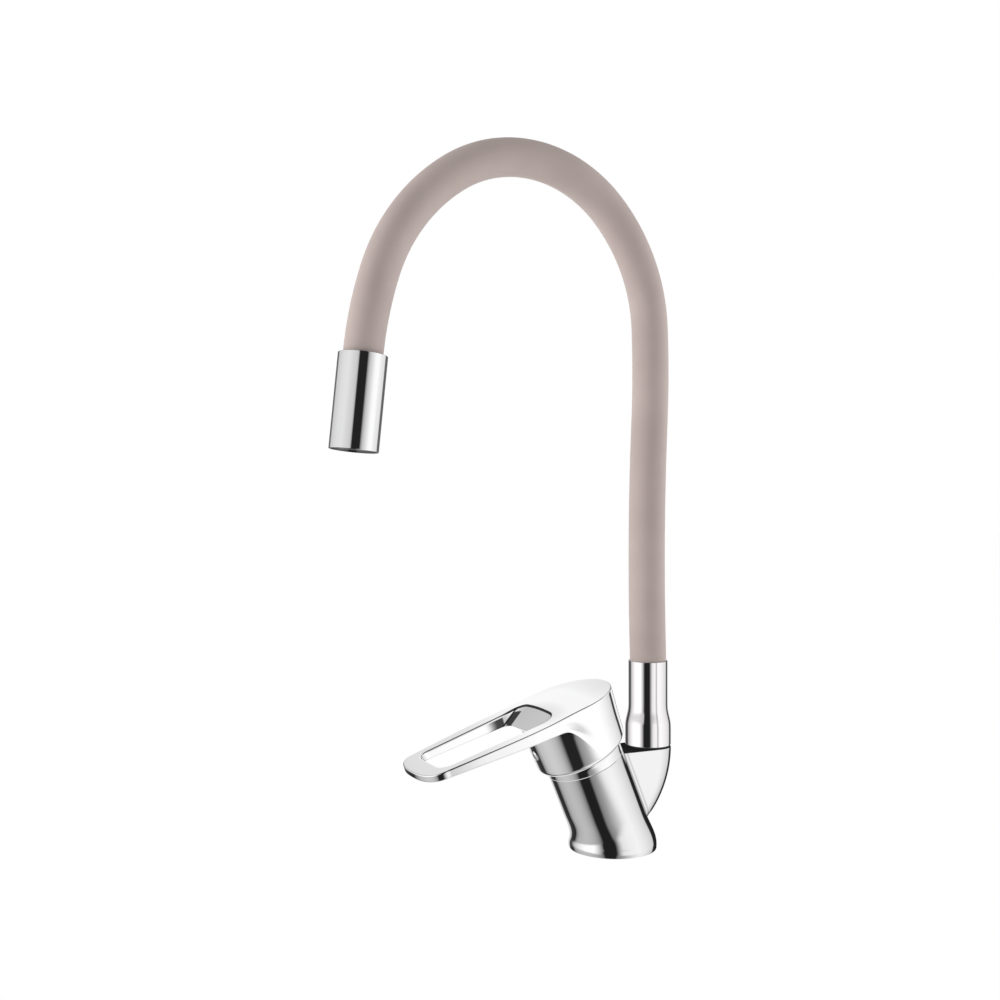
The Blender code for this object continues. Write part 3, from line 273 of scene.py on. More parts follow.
turn = aside.math("ARCTAN2", aside, ahead) / math.tau + 0.5
height = cloth.along(cloth.place(), 2)


def tent_round(stops):
    """The tent's tones round the tap, from angles off the camera's line, in degrees."""
    shares = [((angle + 180) / 360, level) for angle, level in stops]
    return cloth.node("ShaderNodeValToRGB", {"stops": shares}, {"Fac": turn})


tones = cloth.blend(cloth.step(height, *LOW_FADE), tent_round(LOW_PANELS), tent_round(MIDDLE_PANELS))
tones = cloth.blend(cloth.step(height, *HIGH_FADE), tones, tent_round(HIGH_PANELS))
tones = cloth.blend(cloth.step(height, *CEILING_FADE), tones, CEILING)
tones = cloth.blend(cloth.step(height, *GROUND_FADE), GROUND, tones)
glow = cloth.node("ShaderNodeEmission", {}, {"Color": tones, "Strength": 1.0})
cloth.node("ShaderNodeOutputMaterial", {}, {"Surface": glow})
tent_mesh.materials.append(tent_look)

FLOOR_RADIUS = 8
FLOOR_WHITE = 0.98
FLOOR_PAINT = (0.6, 0.6, 0.6, 1)
FLOOR_GLOW = 0.5

floor_shape = bmesh.new()
bmesh.ops.create_circle(floor_shape, cap_ends=True, segments=96, radius=FLOOR_RADIUS)
floor_mesh = bpy.data.meshes.new("floor")
floor_shape.to_mesh(floor_mesh)
floor_shape.free()
floor = bpy.data.objects.new("floor", floor_mesh)
bpy.context.scene.collection.objects.link(floor)
floor_look = bpy.data.materials.new("floor")
paper = Nodes(floor_look)
paint = paper.node("ShaderNodeBsdfDiffuse", {}, {"Color": FLOOR_PAINT})
bounce = paper.node("ShaderNodeEmission", {}, {"Color": WHITE, "Strength": FLOOR_GLOW})
lit = paper.node("ShaderNodeAddShader", {}, {0: paint, 1: bounce})
white = paper.node("ShaderNodeEmission", {}, {"Color": WHITE, "Strength": 1.0})
surface = paper.node("ShaderNodeMixShader", {}, {0: paper.seen() * FLOOR_WHITE, 1: lit, 2: white})
paper.node("ShaderNodeOutputMaterial", {}, {"Surface": surface})
floor_mesh.materials.append(floor_look)


LAMP_DISTANCE = 1.3
LAMP_WIDTH = 0.9
LAMP_TALL = 1.2
TAP_MIDDLE = TENT_CENTRE + Vector((0, 0, 200 * MM))


def lamp(name, azimuth, rise, power):
    """A soft lamp that faces the tap's middle from this side of the camera's line."""
    data = bpy.data.lights.new(name, "AREA")
    data.shape = "RECTANGLE"
    data.size = LAMP_WIDTH
    data.size_y = LAMP_TALL
    data.energy = power
    light = bpy.data.objects.new(name, data)
    bpy.context.scene.collection.objects.link(light)
    angle = math.radians(azimuth)
    way = TO_CAMERA * math.cos(angle) + TO_RIGHT * math.sin(angle)
    light.location = TAP_MIDDLE + way * LAMP_DISTANCE + Vector((0, 0, rise))
    light.rotation_euler = (TAP_MIDDLE - light.location).to_track_quat("-Z", "Y").to_euler()
    light.visible_glossy = False


lamp("left_lamp", -84, 480 * MM, 14.2)
lamp("right_lamp", 104, 400 * MM, 10.2)


# The casting: foot, leaning barrel and spout arm in one piece of brass, plated with chrome and
# buffed to a mirror. Its foot flares to the deck, and its bore takes the cartridge.
MIRROR_TONE = 0.93
# The casting's chrome is a darker copy of the lever's: painted shade.
CASTING_TONE = 0.80
CLEAN_TINT = (1, 1, 1.005)
WIPED_TINT = (0.965, 0.965, 0.97)
WIPE_SCALE = (60, 60, 900)
MIRROR_ROUGHNESS = 0.035
HAZE_ROUGHNESS = 0.02
WIPE_ROUGHNESS = 0.012
# The near black of the painted shade and painted dark reflections that masks mix into the chrome.
PAINTED_DARK_COLOUR = (0.015, 0.015, 0.016, 1)


def chrome(name, painted_dark=None, tone=MIRROR_TONE):
    """Mirror chrome: hazy where it is wiped, with painted shade and painted dark reflections mixed in
    where a mask puts them.
    """
    material = bpy.data.materials.new(name)
    nodes = Nodes(material)
    place = nodes.place()
    haze = nodes.step(nodes.noise(place, 38, 4, 0.6), 0.45, 0.75)
    wipes = nodes.noise(nodes.scaled(place, WIPE_SCALE), 4, 3)
    clean, wiped = ((*(tone * part for part in tint), 1) for tint in (CLEAN_TINT, WIPED_TINT))
    colour = nodes.blend(haze * 0.25, clean, wiped)
    rough = MIRROR_ROUGHNESS + HAZE_ROUGHNESS * haze + WIPE_ROUGHNESS * wipes
    inputs = {"Base Color": colour, "Roughness": rough, "Metallic": 1.0}
    shader = nodes.node("ShaderNodeBsdfPrincipled", {}, inputs)
    if painted_dark:
        dark = nodes.node("ShaderNodeBsdfDiffuse", {}, {"Color": PAINTED_DARK_COLOUR})
        shader = nodes.node("ShaderNodeMixShader", {}, {0: painted_dark(nodes, place), 1: shader, 2: dark})
    nodes.node("ShaderNodeOutputMaterial", {}, {"Surface": shader})
    return material


WELD = 0.002 * MM
SHARP_ANGLE = math.radians(34)


def piece(name, shape, material, slot, body, *nodes, level=True):
    """The finished piece of a mesh: shaded, coloured, and moving with its body."""
    bmesh.ops.remove_doubles(shape, verts=shape.verts, dist=WELD)
    bmesh.ops.recalc_face_normals(shape, faces=shape.faces)
    mesh = bpy.data.meshes.new(name)
    shape.to_mesh(mesh)
    shape.free()
    mesh.shade_smooth()
    mesh.set_sharp_from_angle(angle=SHARP_ANGLE)
    mesh.materials.append(material)
    made = bpy.data.objects.new(name, mesh)
    bpy.context.scene.collection.objects.link(made)
    if level:
        even = made.modifiers.new("even", "WEIGHTED_NORMAL")
        even.keep_sharp = True
    if body:
        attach(made, body)
    if nodes:
        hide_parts(*nodes)
    return made


def grow(shape, edges):
    """The ring of edges extruded, as its new corners and edges."""
    grown = bmesh.ops.extrude_edge_only(shape, edges=edges)["geom"]
    corners = [part for part in grown if isinstance(part, bmesh.types.BMVert)]
    new = set(corners)
    lines = [part for part in grown if isinstance(part, bmesh.types.BMEdge)]
    return corners, [line for line in lines if new.issuperset(line.verts)]


def skin(shape, matrices, steps, ends=False):
    """A skin over unit circles under these matrices, with its two ends filled or open."""
    bmesh.ops.create_circle(shape, cap_ends=False, segments=steps, radius=1)
    edges = list(shape.edges)
    bmesh.ops.transform(shape, matrix=matrices[0], verts=shape.verts)
    if ends:
        bmesh.ops.contextual_create(shape, geom=edges)
    for before, after in zip(matrices, matrices[1:]):
        corners, edges = grow(shape, edges)
        bmesh.ops.transform(shape, matrix=after @ before.inverted(), verts=corners)
    if ends:
        bmesh.ops.contextual_create(shape, geom=edges)


LEAN = math.radians(22.6)
BARREL_BACK = 3.1 * MM
BARREL = Matrix.Translation((0, BARREL_BACK, 0)) @ Matrix.Rotation(LEAN, 4, "X")
BARREL_RADIUS = 22.6 * MM
BARREL_TOP = 55.8 * MM
BARREL_SHARES = (0.62, 0.8)
BARREL_ROUND = 0.15 * MM
FOOT_RADIUS = 25.7 * MM
FOOT_EDGE = 3.2 * MM
FOOT_HEIGHT = 21 * MM
FOOT_CURVE = 2.3
FOOT_STEPS = 14
NUT_BORE = 19.7 * MM
CARTRIDGE_BORE = 17.7 * MM
CARTRIDGE_SHOULDER = 50.5 * MM
CARTRIDGE_FLOOR = 27 * MM
SPOUT_BACK = 24.65 * MM
ARM_TOP = 56.8 * MM
ARM_RADIUS = 13.5 * MM
ARM_CURVE = 56 * MM
ARM_FOOT = 14 * MM
ARM_STEPS = 24
ARM_SUNK = 1.2 * MM

# In millimetres: (radius, height) of the gasket's groove, (height, inset) of the foot's round
# edge, and (inset, drop) of the round lip on the arm's top.
GASKET_GROOVE = ((20.7, 0), (20.7, 2.3), (24.3, 2.3), (24.3, 0))
FOOT_ROUND = ((0, 0.8), (0.25, 0.25), (0.9, 0))
ARM_ROUND = ((0.45, 0), (0.13, 0.13), (0, 0.45))

# Where shade and dark reflections are painted on the chrome: (start, end) of each change, as a
# length, a height or how far the surface turns from the eye.
PAINTED_DARK_SHARE = 0.97
CREASE_FADE = (0.4 * MM, 1.7 * MM)
LINE_RISE = (1.9 * MM, 2.4 * MM)
LINE_FALL = (2.8 * MM, 3.6 * MM)
ARM_EDGE = (0.56, 0.66)
ARM_EDGE_RISE = (4 * MM, 7 * MM)
ARM_FACE = (ARM_TOP - 0.05 * MM, ARM_TOP - 0.01 * MM)
BARREL_EDGE_RISE = (0.56, 0.62)
BARREL_EDGE_FALL = (0.90, 0.96)
BARREL_BESIDE = (-14 * MM, -9 * MM)
BARREL_HIGH = (50 * MM, 58 * MM)


def flat_ring(height, across, along, middle):
    return Matrix.Translation((0, middle, height)) @ Matrix.Diagonal((across, along, 1, 1))


def barrel_ring(radius, height):
    return BARREL @ Matrix.Translation((0, 0, height)) @ Matrix.Diagonal((radius, radius, 1, 1))


def foot_section(height, flare, inset=0.0):
    """The foot's section: the leaning barrel's own, spread towards the round base."""
    across = BARREL_RADIUS + (FOOT_RADIUS - BARREL_RADIUS) * flare - inset
    oval = BARREL_RADIUS / math.cos(LEAN)
    along = oval + (FOOT_RADIUS - oval) * flare - inset
    middle = (BARREL_BACK - height * math.tan(LEAN)) * (1 - flare)
    return flat_ring(height, across, along, middle)


def behind_barrel(nodes, place):
    """How far a place lies behind the barrel's wall where the arm's side meets it."""
    spot = nodes.vector("DOT_PRODUCT", place, (0, 1, math.tan(LEAN)))
    return spot - (BARREL_BACK + math.sqrt(BARREL_RADIUS**2 - ARM_RADIUS**2) / math.cos(LEAN))


def arm_crease(nodes, place):
    """Painted shade in the crease by the barrel, and painted dark reflections on the arm's edge and top.
    """
    gap = behind_barrel(nodes, place)
    line = nodes.band(gap, LINE_RISE, LINE_FALL)
    crease = (1 - nodes.step(gap, *CREASE_FADE)) * 0.6 + line * 0.3
    edge = nodes.step(nodes.facing(), *ARM_EDGE) * nodes.step(gap, *ARM_EDGE_RISE)
    face = nodes.step(nodes.along(place, 2), *ARM_FACE)
    return crease.most(edge.most(face) * PAINTED_DARK_SHARE)


def barrel_crease(nodes, place):
    """A painted reflection: the dark edge that the barrel shows beside its arm, where it mirrors the
    crease.
    """
    edge = nodes.band(nodes.facing(), BARREL_EDGE_RISE, BARREL_EDGE_FALL)
    beside = nodes.step(behind_barrel(nodes, place), *BARREL_BESIDE)
    return edge * beside * (1 - nodes.step(nodes.along(place, 2), *BARREL_HIGH))


casting_chrome = chrome("casting_chrome", barrel_crease, CASTING_TONE)
foot_rings = []
for i in range(FOOT_STEPS + 1):
    share = i / FOOT_STEPS
    height = FOOT_EDGE + (FOOT_HEIGHT - FOOT_EDGE) * share
    foot_rings.append(foot_section(height, (1 - share) ** FOOT_CURVE))
shape = bmesh.new()
skin(
    shape,
    [
        *(flat_ring(height * MM, radius * MM, radius * MM, 0) for radius, height in GASKET_GROOVE),
        *(foot_section(height * MM, 1, inset * MM) for height, inset in FOOT_ROUND),
        *foot_rings,
        *(barrel_ring(BARREL_RADIUS, BARREL_TOP * share) for share in BARREL_SHARES),
        barrel_ring(BARREL_RADIUS, BARREL_TOP - BARREL_ROUND),
        barrel_ring(BARREL_RADIUS - BARREL_ROUND, BARREL_TOP),
        barrel_ring(NUT_BORE, BARREL_TOP),
        barrel_ring(NUT_BORE, CARTRIDGE_SHOULDER),
        barrel_ring(CARTRIDGE_BORE, CARTRIDGE_SHOULDER),
        barrel_ring(CARTRIDGE_BORE, CARTRIDGE_FLOOR),
    ],
    128, True,
)
piece("casting_barrel", shape, casting_chrome, "chrome", "tap", "tap_body")


def arm_centre(height):
    """Where the arm's middle lies at a height: right over the spout's axis at its top."""
    return SPOUT_BACK - (ARM_CURVE - math.sqrt(ARM_CURVE**2 - (ARM_TOP - height) ** 2))


lip = []
for inset, drop in ARM_ROUND:
    radius = ARM_RADIUS - inset * MM
    lip.append(flat_ring(ARM_TOP - drop * MM, radius, radius, SPOUT_BACK))
arm_heights = [ARM_TOP - (ARM_TOP - ARM_FOOT) * i / ARM_STEPS for i in range(1, ARM_STEPS + 1)]
arm_rings = [flat_ring(height, ARM_RADIUS, ARM_RADIUS, arm_centre(height)) for height in arm_heights]
shape = bmesh.new()
skin(shape, [*lip, *arm_rings], 96, True)
for corner in shape.verts:
    centre = arm_centre(corner.co.z)
    if corner.co.y < centre - 0.01 * MM:
        wall = math.sqrt((BARREL_RADIUS - ARM_SUNK) ** 2 - corner.co.x**2) / math.cos(LEAN)
        middle = BARREL_BACK - corner.co.z * math.tan(LEAN)
        corner.co.y = min(middle + wall, centre - 0.02 * MM)
piece("casting_arm", shape, chrome("arm_chrome", arm_crease, CASTING_TONE), "chrome", "tap")


# The dome cover: a thin turned and chromed ring that lies on the barrel's rim, hides the
# cartridge's nut, and lets the lever's skirt glide over it.
DOME_SIDE = 3 * MM
DOME_TOP = 66.4 * MM
DOME_MOUTH = 16 * MM
DOME_WALL = 1 * MM
DOME_GAP = 0.1 * MM
DOME_STEPS = 16
# The dome's chrome is a darker copy of the lever's: painted shade.
DOME_TONE = 0.88

dome_low = BARREL_TOP + DOME_GAP
dome_side = dome_low + DOME_SIDE
outside = []
for i in range(DOME_STEPS + 1):
    angle = math.pi / 2 * i / DOME_STEPS
    radius = DOME_MOUTH + (BARREL_RADIUS - DOME_MOUTH) * math.cos(angle)
    outside.append((radius, dome_side + (DOME_TOP - dome_side) * math.sin(angle)))
inside = []
for radius, height in reversed(outside):
    inside.append((max(radius - DOME_WALL, DOME_MOUTH), height - DOME_WALL))
dome_profile = [
    (BARREL_RADIUS - DOME_WALL, dome_low),
    (BARREL_RADIUS - BARREL_ROUND, dome_low),
    (BARREL_RADIUS, dome_low + BARREL_ROUND),
    *outside,
    *inside,
    (BARREL_RADIUS - DOME_WALL, dome_low),
]
shape = bmesh.new()
skin(shape, [barrel_ring(radius, height) for radius, height in dome_profile], 128)
piece("dome_ring", shape, chrome("dome_chrome", None, DOME_TONE), "chrome", "tap", "dome_cover")


# The lever: a chromed casting with a flat arm round an open finger loop and a deep cap that covers
# the cartridge. The loop's back end is scooped out of the cap, and every rim is finely rounded.
LEVER_TOP = 95.2 * MM
LEVER_TILT = math.radians(4.1)
LEVER = BARREL @ Matrix.Translation((0, 0, LEVER_TOP)) @ Matrix.Rotation(-LEVER_TILT, 4, "X")
PLATE_HALF = 28.6 * MM
PLATE_BACK = 29.3 * MM
TAPER_START = 34.8 * MM
TAPER_CURVE = 1.25
TIP_HALF = 23.6 * MM
TIP_START = 85.5 * MM
PLATE_LENGTH = 98.4 * MM
TIP_BLUNT = 0.78
PLATE_DEPTH = 7 * MM
TIP_DEPTH = 3.8 * MM
LOOP_BACK = 16.4 * MM
LOOP_FLOOR_BACK = 28.2 * MM
LOOP_HALF = 20.3 * MM
LOOP_TIP_HALF = 17.6 * MM
LOOP_END = 86.8 * MM
LOOP_CORNER = 7 * MM
FLOOR_CORNER = 5 * MM
LOOP_DRAFT = 0.4 * MM
SWELL_HEIGHT = 3.4 * MM
SWELL_REACH = 38 * MM
RIM = 0.65 * MM
LOOP_RIM = 1.0 * MM
SECTION_STEPS = 64


def swell(x, y):
    """How high the top stands over the lever's plane: a low dome above the cartridge."""
    far = min(math.hypot(x, y) / SWELL_REACH, 1)
    return SWELL_HEIGHT * (1 - far**2) ** 2


def underside(y):
    """The height of the arm's underside, which rises towards the tip."""
    share = (-y - LOOP_FLOOR_BACK) / (PLATE_LENGTH - LOOP_FLOOR_BACK)
    return -PLATE_DEPTH + (PLATE_DEPTH - TIP_DEPTH) * max(share, -0.4)


def even_points(corners, count):
    """As many points, evenly spaced along a line of corners, with both its ends."""
    lengths = [(b - a).length for a, b in zip(corners, corners[1:])]
    total = sum(lengths)
    points = []
    for i in range(count + 1):
        left = total * i / count
        for a, b, length in zip(corners, corners[1:], lengths):
            if left <= length or b is corners[-1]:
                points.append(a.lerp(b, min(left / length, 1)))
                break
            left -= length
    return points


def rounded(corner, start, end, steps=12):
    """A quarter turn from start to end, bulging towards the corner."""
    centre = start + end - corner
    points = []
    for i in range(steps + 1):
        angle = math.pi / 2 * i / steps
        points.append(centre + (start - centre) * math.cos(angle) + (end - centre) * math.sin(angle))
    return points


def loop_points(back, half, tip_half, end, corner, tip_corner):
    """The loop's outline from above, in four sections: back, left, tip and right."""
    narrow = (half - tip_half) / (end - back)

    def side(y, hand):
        return Vector((hand * (half - narrow * (-y - back)), y))

    back_right = rounded(side(-back, 1), side(-back - corner, 1), Vector((half - corner, -back)))
    back_left = rounded(side(-back, -1), Vector((corner - half, -back)), side(-back - corner, -1))
    tip_left = rounded(side(-end, -1), side(-end + tip_corner, -1), Vector((tip_corner - tip_half, -end)))
    tip_right = rounded(side(-end, 1), Vector((tip_half - tip_corner, -end)), side(-end + tip_corner, 1))
    sections = (
        even_points([*back_right, *back_left], 2 * SECTION_STEPS),
        even_points([back_left[-1], tip_left[0]], SECTION_STEPS),
        even_points([*tip_left, *tip_right], SECTION_STEPS),
        even_points([tip_right[-1], back_right[0]], SECTION_STEPS),
    )
    return [point for section in sections for point in section[:-1]]


def plate_points():
    """The lever's outline from above, in the same four sections."""
    start = -LOOP_BACK - LOOP_CORNER
    back = [Vector((PLATE_HALF, start))]
    for i in range(61):
        angle = math.pi * i / 60
        back.append(Vector((PLATE_HALF * math.cos(angle), PLATE_BACK * math.sin(angle))))
    back.append(Vector((-PLATE_HALF, start)))
    side = [Vector((PLATE_HALF, start))]
    for i in range(13):
        share = i / 12
        y = -TAPER_START - (TIP_START - TAPER_START) * share
        side.append(Vector((PLATE_HALF - (PLATE_HALF - TIP_HALF) * share**TAPER_CURVE, y)))
    tip = []
    for i in range(61):
        angle = math.pi * i / 60
        reach = abs(math.sin(angle)) ** TIP_BLUNT
        swing = math.copysign(abs(math.cos(angle)) ** TIP_BLUNT, math.cos(angle))
        tip.append(Vector((-TIP_HALF * swing, -TIP_START - (PLATE_LENGTH - TIP_START) * reach)))
    left = [Vector((-point.x, point.y)) for point in side]
    sections = (
        even_points(back, 2 * SECTION_STEPS), even_points(left, SECTION_STEPS),
        even_points(tip, SECTION_STEPS), even_points(side[::-1], SECTION_STEPS),
    )
    return [point for section in sections for point in section[:-1]]


def inward(points, distance):
    """A closed outline moved to its left by this distance."""
    moved = []
    for i, point in enumerate(points):
        way = (points[(i + 1) % len(points)] - points[i - 1]).normalized()
        moved.append(point + Vector((-way.y, way.x)) * distance)
    return moved


def rim_ring(points, inset, drop, base):
    """The outline inset, at a drop under a height that depends on the place."""
    return [Vector((point.x, point.y, base(point.x, point.y) - drop)) for point in inward(points, inset)]


def loft(shape, rings, matrix, closed=False):
    """A skin over rings of as many corners each, closed to a loop or with its two ends filled."""
    column = shape.verts.layers.int.new("column")
    row = shape.verts.layers.int.new("row")
    bmesh.ops.create_circle(shape, cap_ends=False, segments=len(rings[0]), radius=1)
    for i, corner in enumerate(shape.verts):
        corner[column] = i
        corner.co = matrix @ rings[0][i]
    edges = list(shape.edges)
    if not closed:
        bmesh.ops.contextual_create(shape, geom=edges)
    for number, ring in enumerate(rings[1:] + rings[:1] * closed, 1):
        corners, edges = grow(shape, edges)
        for corner in corners:
            corner.co = matrix @ ring[corner[column]]
            corner[row] = number
    if not closed:
        bmesh.ops.contextual_create(shape, geom=edges)


plate_outline = plate_points()
loop_top = loop_points(LOOP_BACK, LOOP_HALF, LOOP_TIP_HALF, LOOP_END, LOOP_CORNER, LOOP_CORNER)
loop_floor = loop_points(
    LOOP_FLOOR_BACK, LOOP_HALF - LOOP_DRAFT, LOOP_TIP_HALF - LOOP_DRAFT, LOOP_END - LOOP_DRAFT,
    FLOOR_CORNER, LOOP_CORNER,
)
SKIRT_BOTTOM = 62.4 * MM
SKIRT_TILT = math.radians(-5.5)
SKIRT_LIP_RADIUS = 23.4 * MM
SKIRT_RADIUS = 27.1 * MM
SKIRT_ROUND = 3 * MM
CAP_TOP_RADIUS = 28.5 * MM
CAP_WALL = 3.7 * MM
CAP_LIP = 0.6 * MM
# The cap's chrome is a brighter copy of the arm's: painted light.
CAP_TONE = 0.97
CURTAIN = 0.05 * MM


def cap_place(share):
    """The frame of the cap's section at this share of its height, from the skirt to the top."""
    height = SKIRT_BOTTOM + (LEVER_TOP - SKIRT_BOTTOM) * share
    tilt = SKIRT_TILT + (LEVER_TILT - SKIRT_TILT) * share
    return BARREL @ Matrix.Translation((0, 0, height)) @ Matrix.Rotation(-tilt, 4, "X")


def cap_radius(share):
    radius = SKIRT_RADIUS + (CAP_TOP_RADIUS - SKIRT_RADIUS) * share
    rise = share * (LEVER_TOP - SKIRT_BOTTOM)
    if rise < SKIRT_ROUND:
        turn = math.acos(1 - rise / SKIRT_ROUND)
        radius = SKIRT_LIP_RADIUS + (radius - SKIRT_LIP_RADIUS) * math.sin(turn)
    return radius


def smooth(value, low, high):
    share = min(max((value - low) / (high - low), 0), 1)
    return share * share * (3 - 2 * share)


def cap_point(share, angle, out=0.0):
    """A place on the cap's wall, at this share of its height and this angle round it."""
    radius = cap_radius(share) + out
    return cap_place(share) @ Vector((radius * math.cos(angle), radius * math.sin(angle), 0))


to_lever = LEVER.inverted()
CAP_DEPTH = LEVER_TOP - SKIRT_BOTTOM
MERGE_START = 18 * MM
MERGE_END = 2 * MM
WALL_END = 28 * MM
MERGE_POWER = 1.9
RIM_FADE = 4


def merge_share(y):
    """0 where the arm's side wall ends at its underside, and 1 where it is the cap's own wall."""
    return min(max((y + MERGE_START) / (MERGE_START - MERGE_END), 0), 1)


def rim_left(share):
    """How much of the arm's lower rim is left where its side wall turns into the cap's."""
    return 1 - min(share * RIM_FADE, 1)


def wall_ring(level):
    """The side wall at a level from 0 at its rim to 1 at its lower end."""
    ring = []
    for point in plate_outline:
        share = merge_share(point.y)
        top = swell(point.x, point.y) - RIM
        end = underside(point.y) + RIM * rim_left(share)
        end -= (WALL_END - PLATE_DEPTH) * share**MERGE_POWER
        depth = top + (end - top) * level
        flat = Vector((point.x, point.y, depth))
        angle = math.atan2(point.y / PLATE_BACK, point.x / PLATE_HALF)
        on_cap = to_lever @ cap_point(min(1 + depth / CAP_DEPTH, 1), angle, CURTAIN)
        pull = share**0.7 * smooth(share, 0, 0.2)
        pull *= smooth(level * (1 + share / 2), 0.35 - 0.35 * share, 1)
        ring.append(flat.lerp(on_cap, pull))
    return ring


def lever_axis(nodes, place, axis):
    """How far a place lies along one of the lever's own axes."""
    way = LEVER.col[axis].to_3d()
    return nodes.vector("DOT_PRODUCT", place, way) - way.dot(LEVER.translation)


# The dark corner of the loop and the shade under the arm's root, along the lever's own axes:
# x to the side, y to the back, z up.
CORNER_LOW = (-7.2 * MM, -6.9 * MM)
CORNER_HIGH = (-1.4 * MM, -1 * MM)
CORNER_LEFT = (-20.2 * MM, -19.4 * MM)
CORNER_RIGHT = (-16.2 * MM, -15.2 * MM)
CORNER_BACK = (-31 * MM, -29 * MM)
RAIL_LEFT = (-20.7 * MM, -20.5 * MM)
RAIL_RIGHT = (-19.6 * MM, -19.2 * MM)
RAIL_FRONT = (-46 * MM, -38 * MM)
ROOT_FADE = (1.8 * MM, 2.6 * MM)
ROOT_FRONT = (-27 * MM, -22 * MM)
ROOT_BACK = (-12.5 * MM, -10 * MM)
CORNER_SHADE = 0.95


def loop_corner(nodes, place):
    """The shade in the loop's far back corner, where the scoop meets the rail."""
    x, y, z = (lever_axis(nodes, place, axis) for axis in range(3))
    corner = nodes.band(x, CORNER_LEFT, CORNER_RIGHT) * nodes.step(y, *CORNER_BACK)
    rail = nodes.band(x, RAIL_LEFT, RAIL_RIGHT) * nodes.step(y, *RAIL_FRONT)
    rail = rail * (1 - nodes.step(y, *CORNER_BACK))
    return corner.most(rail) * nodes.band(z, CORNER_LOW, CORNER_HIGH) * CORNER_SHADE


def arm_root(nodes, place):
    """The shade on the cap right under the arm's side."""
    y, z = lever_axis(nodes, place, 1), lever_axis(nodes, place, 2)
    share = ((y + MERGE_START) / (MERGE_START - MERGE_END)).most(0)
    edge = -PLATE_DEPTH - (WALL_END - PLATE_DEPTH) * share.math("POWER", share, MERGE_POWER)
    shade = (1 - nodes.step(edge - z, *ROOT_FADE)) * nodes.step(y, *ROOT_FRONT)
    return shade * (1 - nodes.step(y, *ROOT_BACK)) * CORNER_SHADE


# The rims are quarter turns, through these angles.
QUARTER = [math.pi / 8 * i for i in range(5)]
COARSE_QUARTER = [math.pi / 6 * i for i in range(4)]
TOP_STEPS = 24
SCOOP_STEPS = 12
WALL_STEPS = 24

lever_chrome = chrome("lever_chrome", loop_corner)
top_rings = [
    rim_ring(plate_outline, RIM * (1 - math.cos(angle)), RIM * (1 - math.sin(angle)), swell)
    for angle in QUARTER
]
inner_top = rim_ring(loop_top, -LOOP_RIM, 0, swell)
outer_top = top_rings[-1]
across = []
for i in range(1, TOP_STEPS):
    ring = []
    for a, b in zip(outer_top, inner_top):
        spot = a.lerp(b, i / TOP_STEPS)
        ring.append(Vector((spot.x, spot.y, swell(spot.x, spot.y))))
    across.append(ring)
loop_rim = [
    rim_ring(loop_top, -LOOP_RIM * (1 - math.sin(angle)), LOOP_RIM * (1 - math.cos(angle)), swell)
    for angle in QUARTER
]
floor_rim = []
for angle in COARSE_QUARTER:
    inset, drop = -RIM * (1 - math.cos(angle)), -RIM * (1 - math.sin(angle))
    floor_rim.append(rim_ring(loop_floor, inset, drop, lambda x, y: underside(y)))
scoop = []
for i in range(1, SCOOP_STEPS):
    scoop.append([a.lerp(b, i / SCOOP_STEPS) for a, b in zip(loop_rim[-1], floor_rim[0])])
wall = [wall_ring(i / WALL_STEPS) for i in range(WALL_STEPS + 1)]
low_rim = []
for angle in COARSE_QUARTER[1:]:
    ring = []
    moved_in = inward(plate_outline, RIM * (1 - math.cos(angle)))
    for base, moved, point in zip(wall[-1], moved_in, plate_outline):
        left = rim_left(merge_share(point.y))
        step = moved - point
        ring.append(base + Vector((step.x, step.y, -RIM * math.sin(angle))) * left)
    low_rim.append(ring)

# Two rings hidden in the cap carry the wall's lower end to the arm's underside.
HIDDEN_HEIGHT = -1.07 * PLATE_DEPTH
hidden = []
for inset, lift in ((0.9 * MM, 0), (1.4 * MM, 1)):
    ring = []
    for base, moved, point in zip(low_rim[-1], inward(plate_outline, inset), plate_outline):
        share = 1 - rim_left(merge_share(point.y))
        step = moved - point
        height = base.z + (HIDDEN_HEIGHT - base.z) * share * lift
        ring.append(Vector((base.x + step.x, base.y + step.y, height)))
    hidden.append(ring)
top_and_loop = [*top_rings, *across, *loop_rim, *scoop, *floor_rim]
shape = bmesh.new()
loft(shape, [*top_and_loop, *hidden[::-1], *low_rim[::-1], *wall[:0:-1]], LEVER, True)
row = shape.verts.layers.int["row"]
rim_start = len(top_rings) + len(across)
rim_rows = range(rim_start, rim_start + len(loop_rim))
for face in shape.faces:
    if all(corner[row] in rim_rows for corner in face.verts):
        face.material_index = 1
arm_piece = piece("lever_arm", shape, lever_chrome, "chrome", "handle", "lever")


SCOOP_FADE = (-33 * MM, -25 * MM)


def scoop_edge(nodes, place):
    """A painted dark reflection along the scoop's upper edge."""
    return nodes.step(lever_axis(nodes, place, 1), *SCOOP_FADE) * PAINTED_DARK_SHARE


arm_piece.data.materials.append(chrome("scoop_edge", scoop_edge))

FILLET = 1.5 * MM
FILLET_RISE = (24, 36)
FILLET_FALL = (46, 60)
CAP_STEPS = 144
CAP_ROUND = 0.125
CAP_BORE = CAP_TOP_RADIUS - CAP_WALL
cap_end = 1 - PLATE_DEPTH / CAP_DEPTH
angles = [math.tau * i / CAP_STEPS for i in range(CAP_STEPS)]


def fillet_out(share, angle):
    """How far the cap flares out under the arm's two rails, which it carries."""
    rise = min(max(1 - (cap_end - share) * CAP_DEPTH / FILLET, 0), 1)
    side = math.degrees(math.atan2(-math.sin(angle), abs(math.cos(angle))))
    under_rail = smooth(side, *FILLET_RISE) * (1 - smooth(side, *FILLET_FALL))
    return FILLET * (1 - math.sqrt(1 - rise**2)) * under_rail


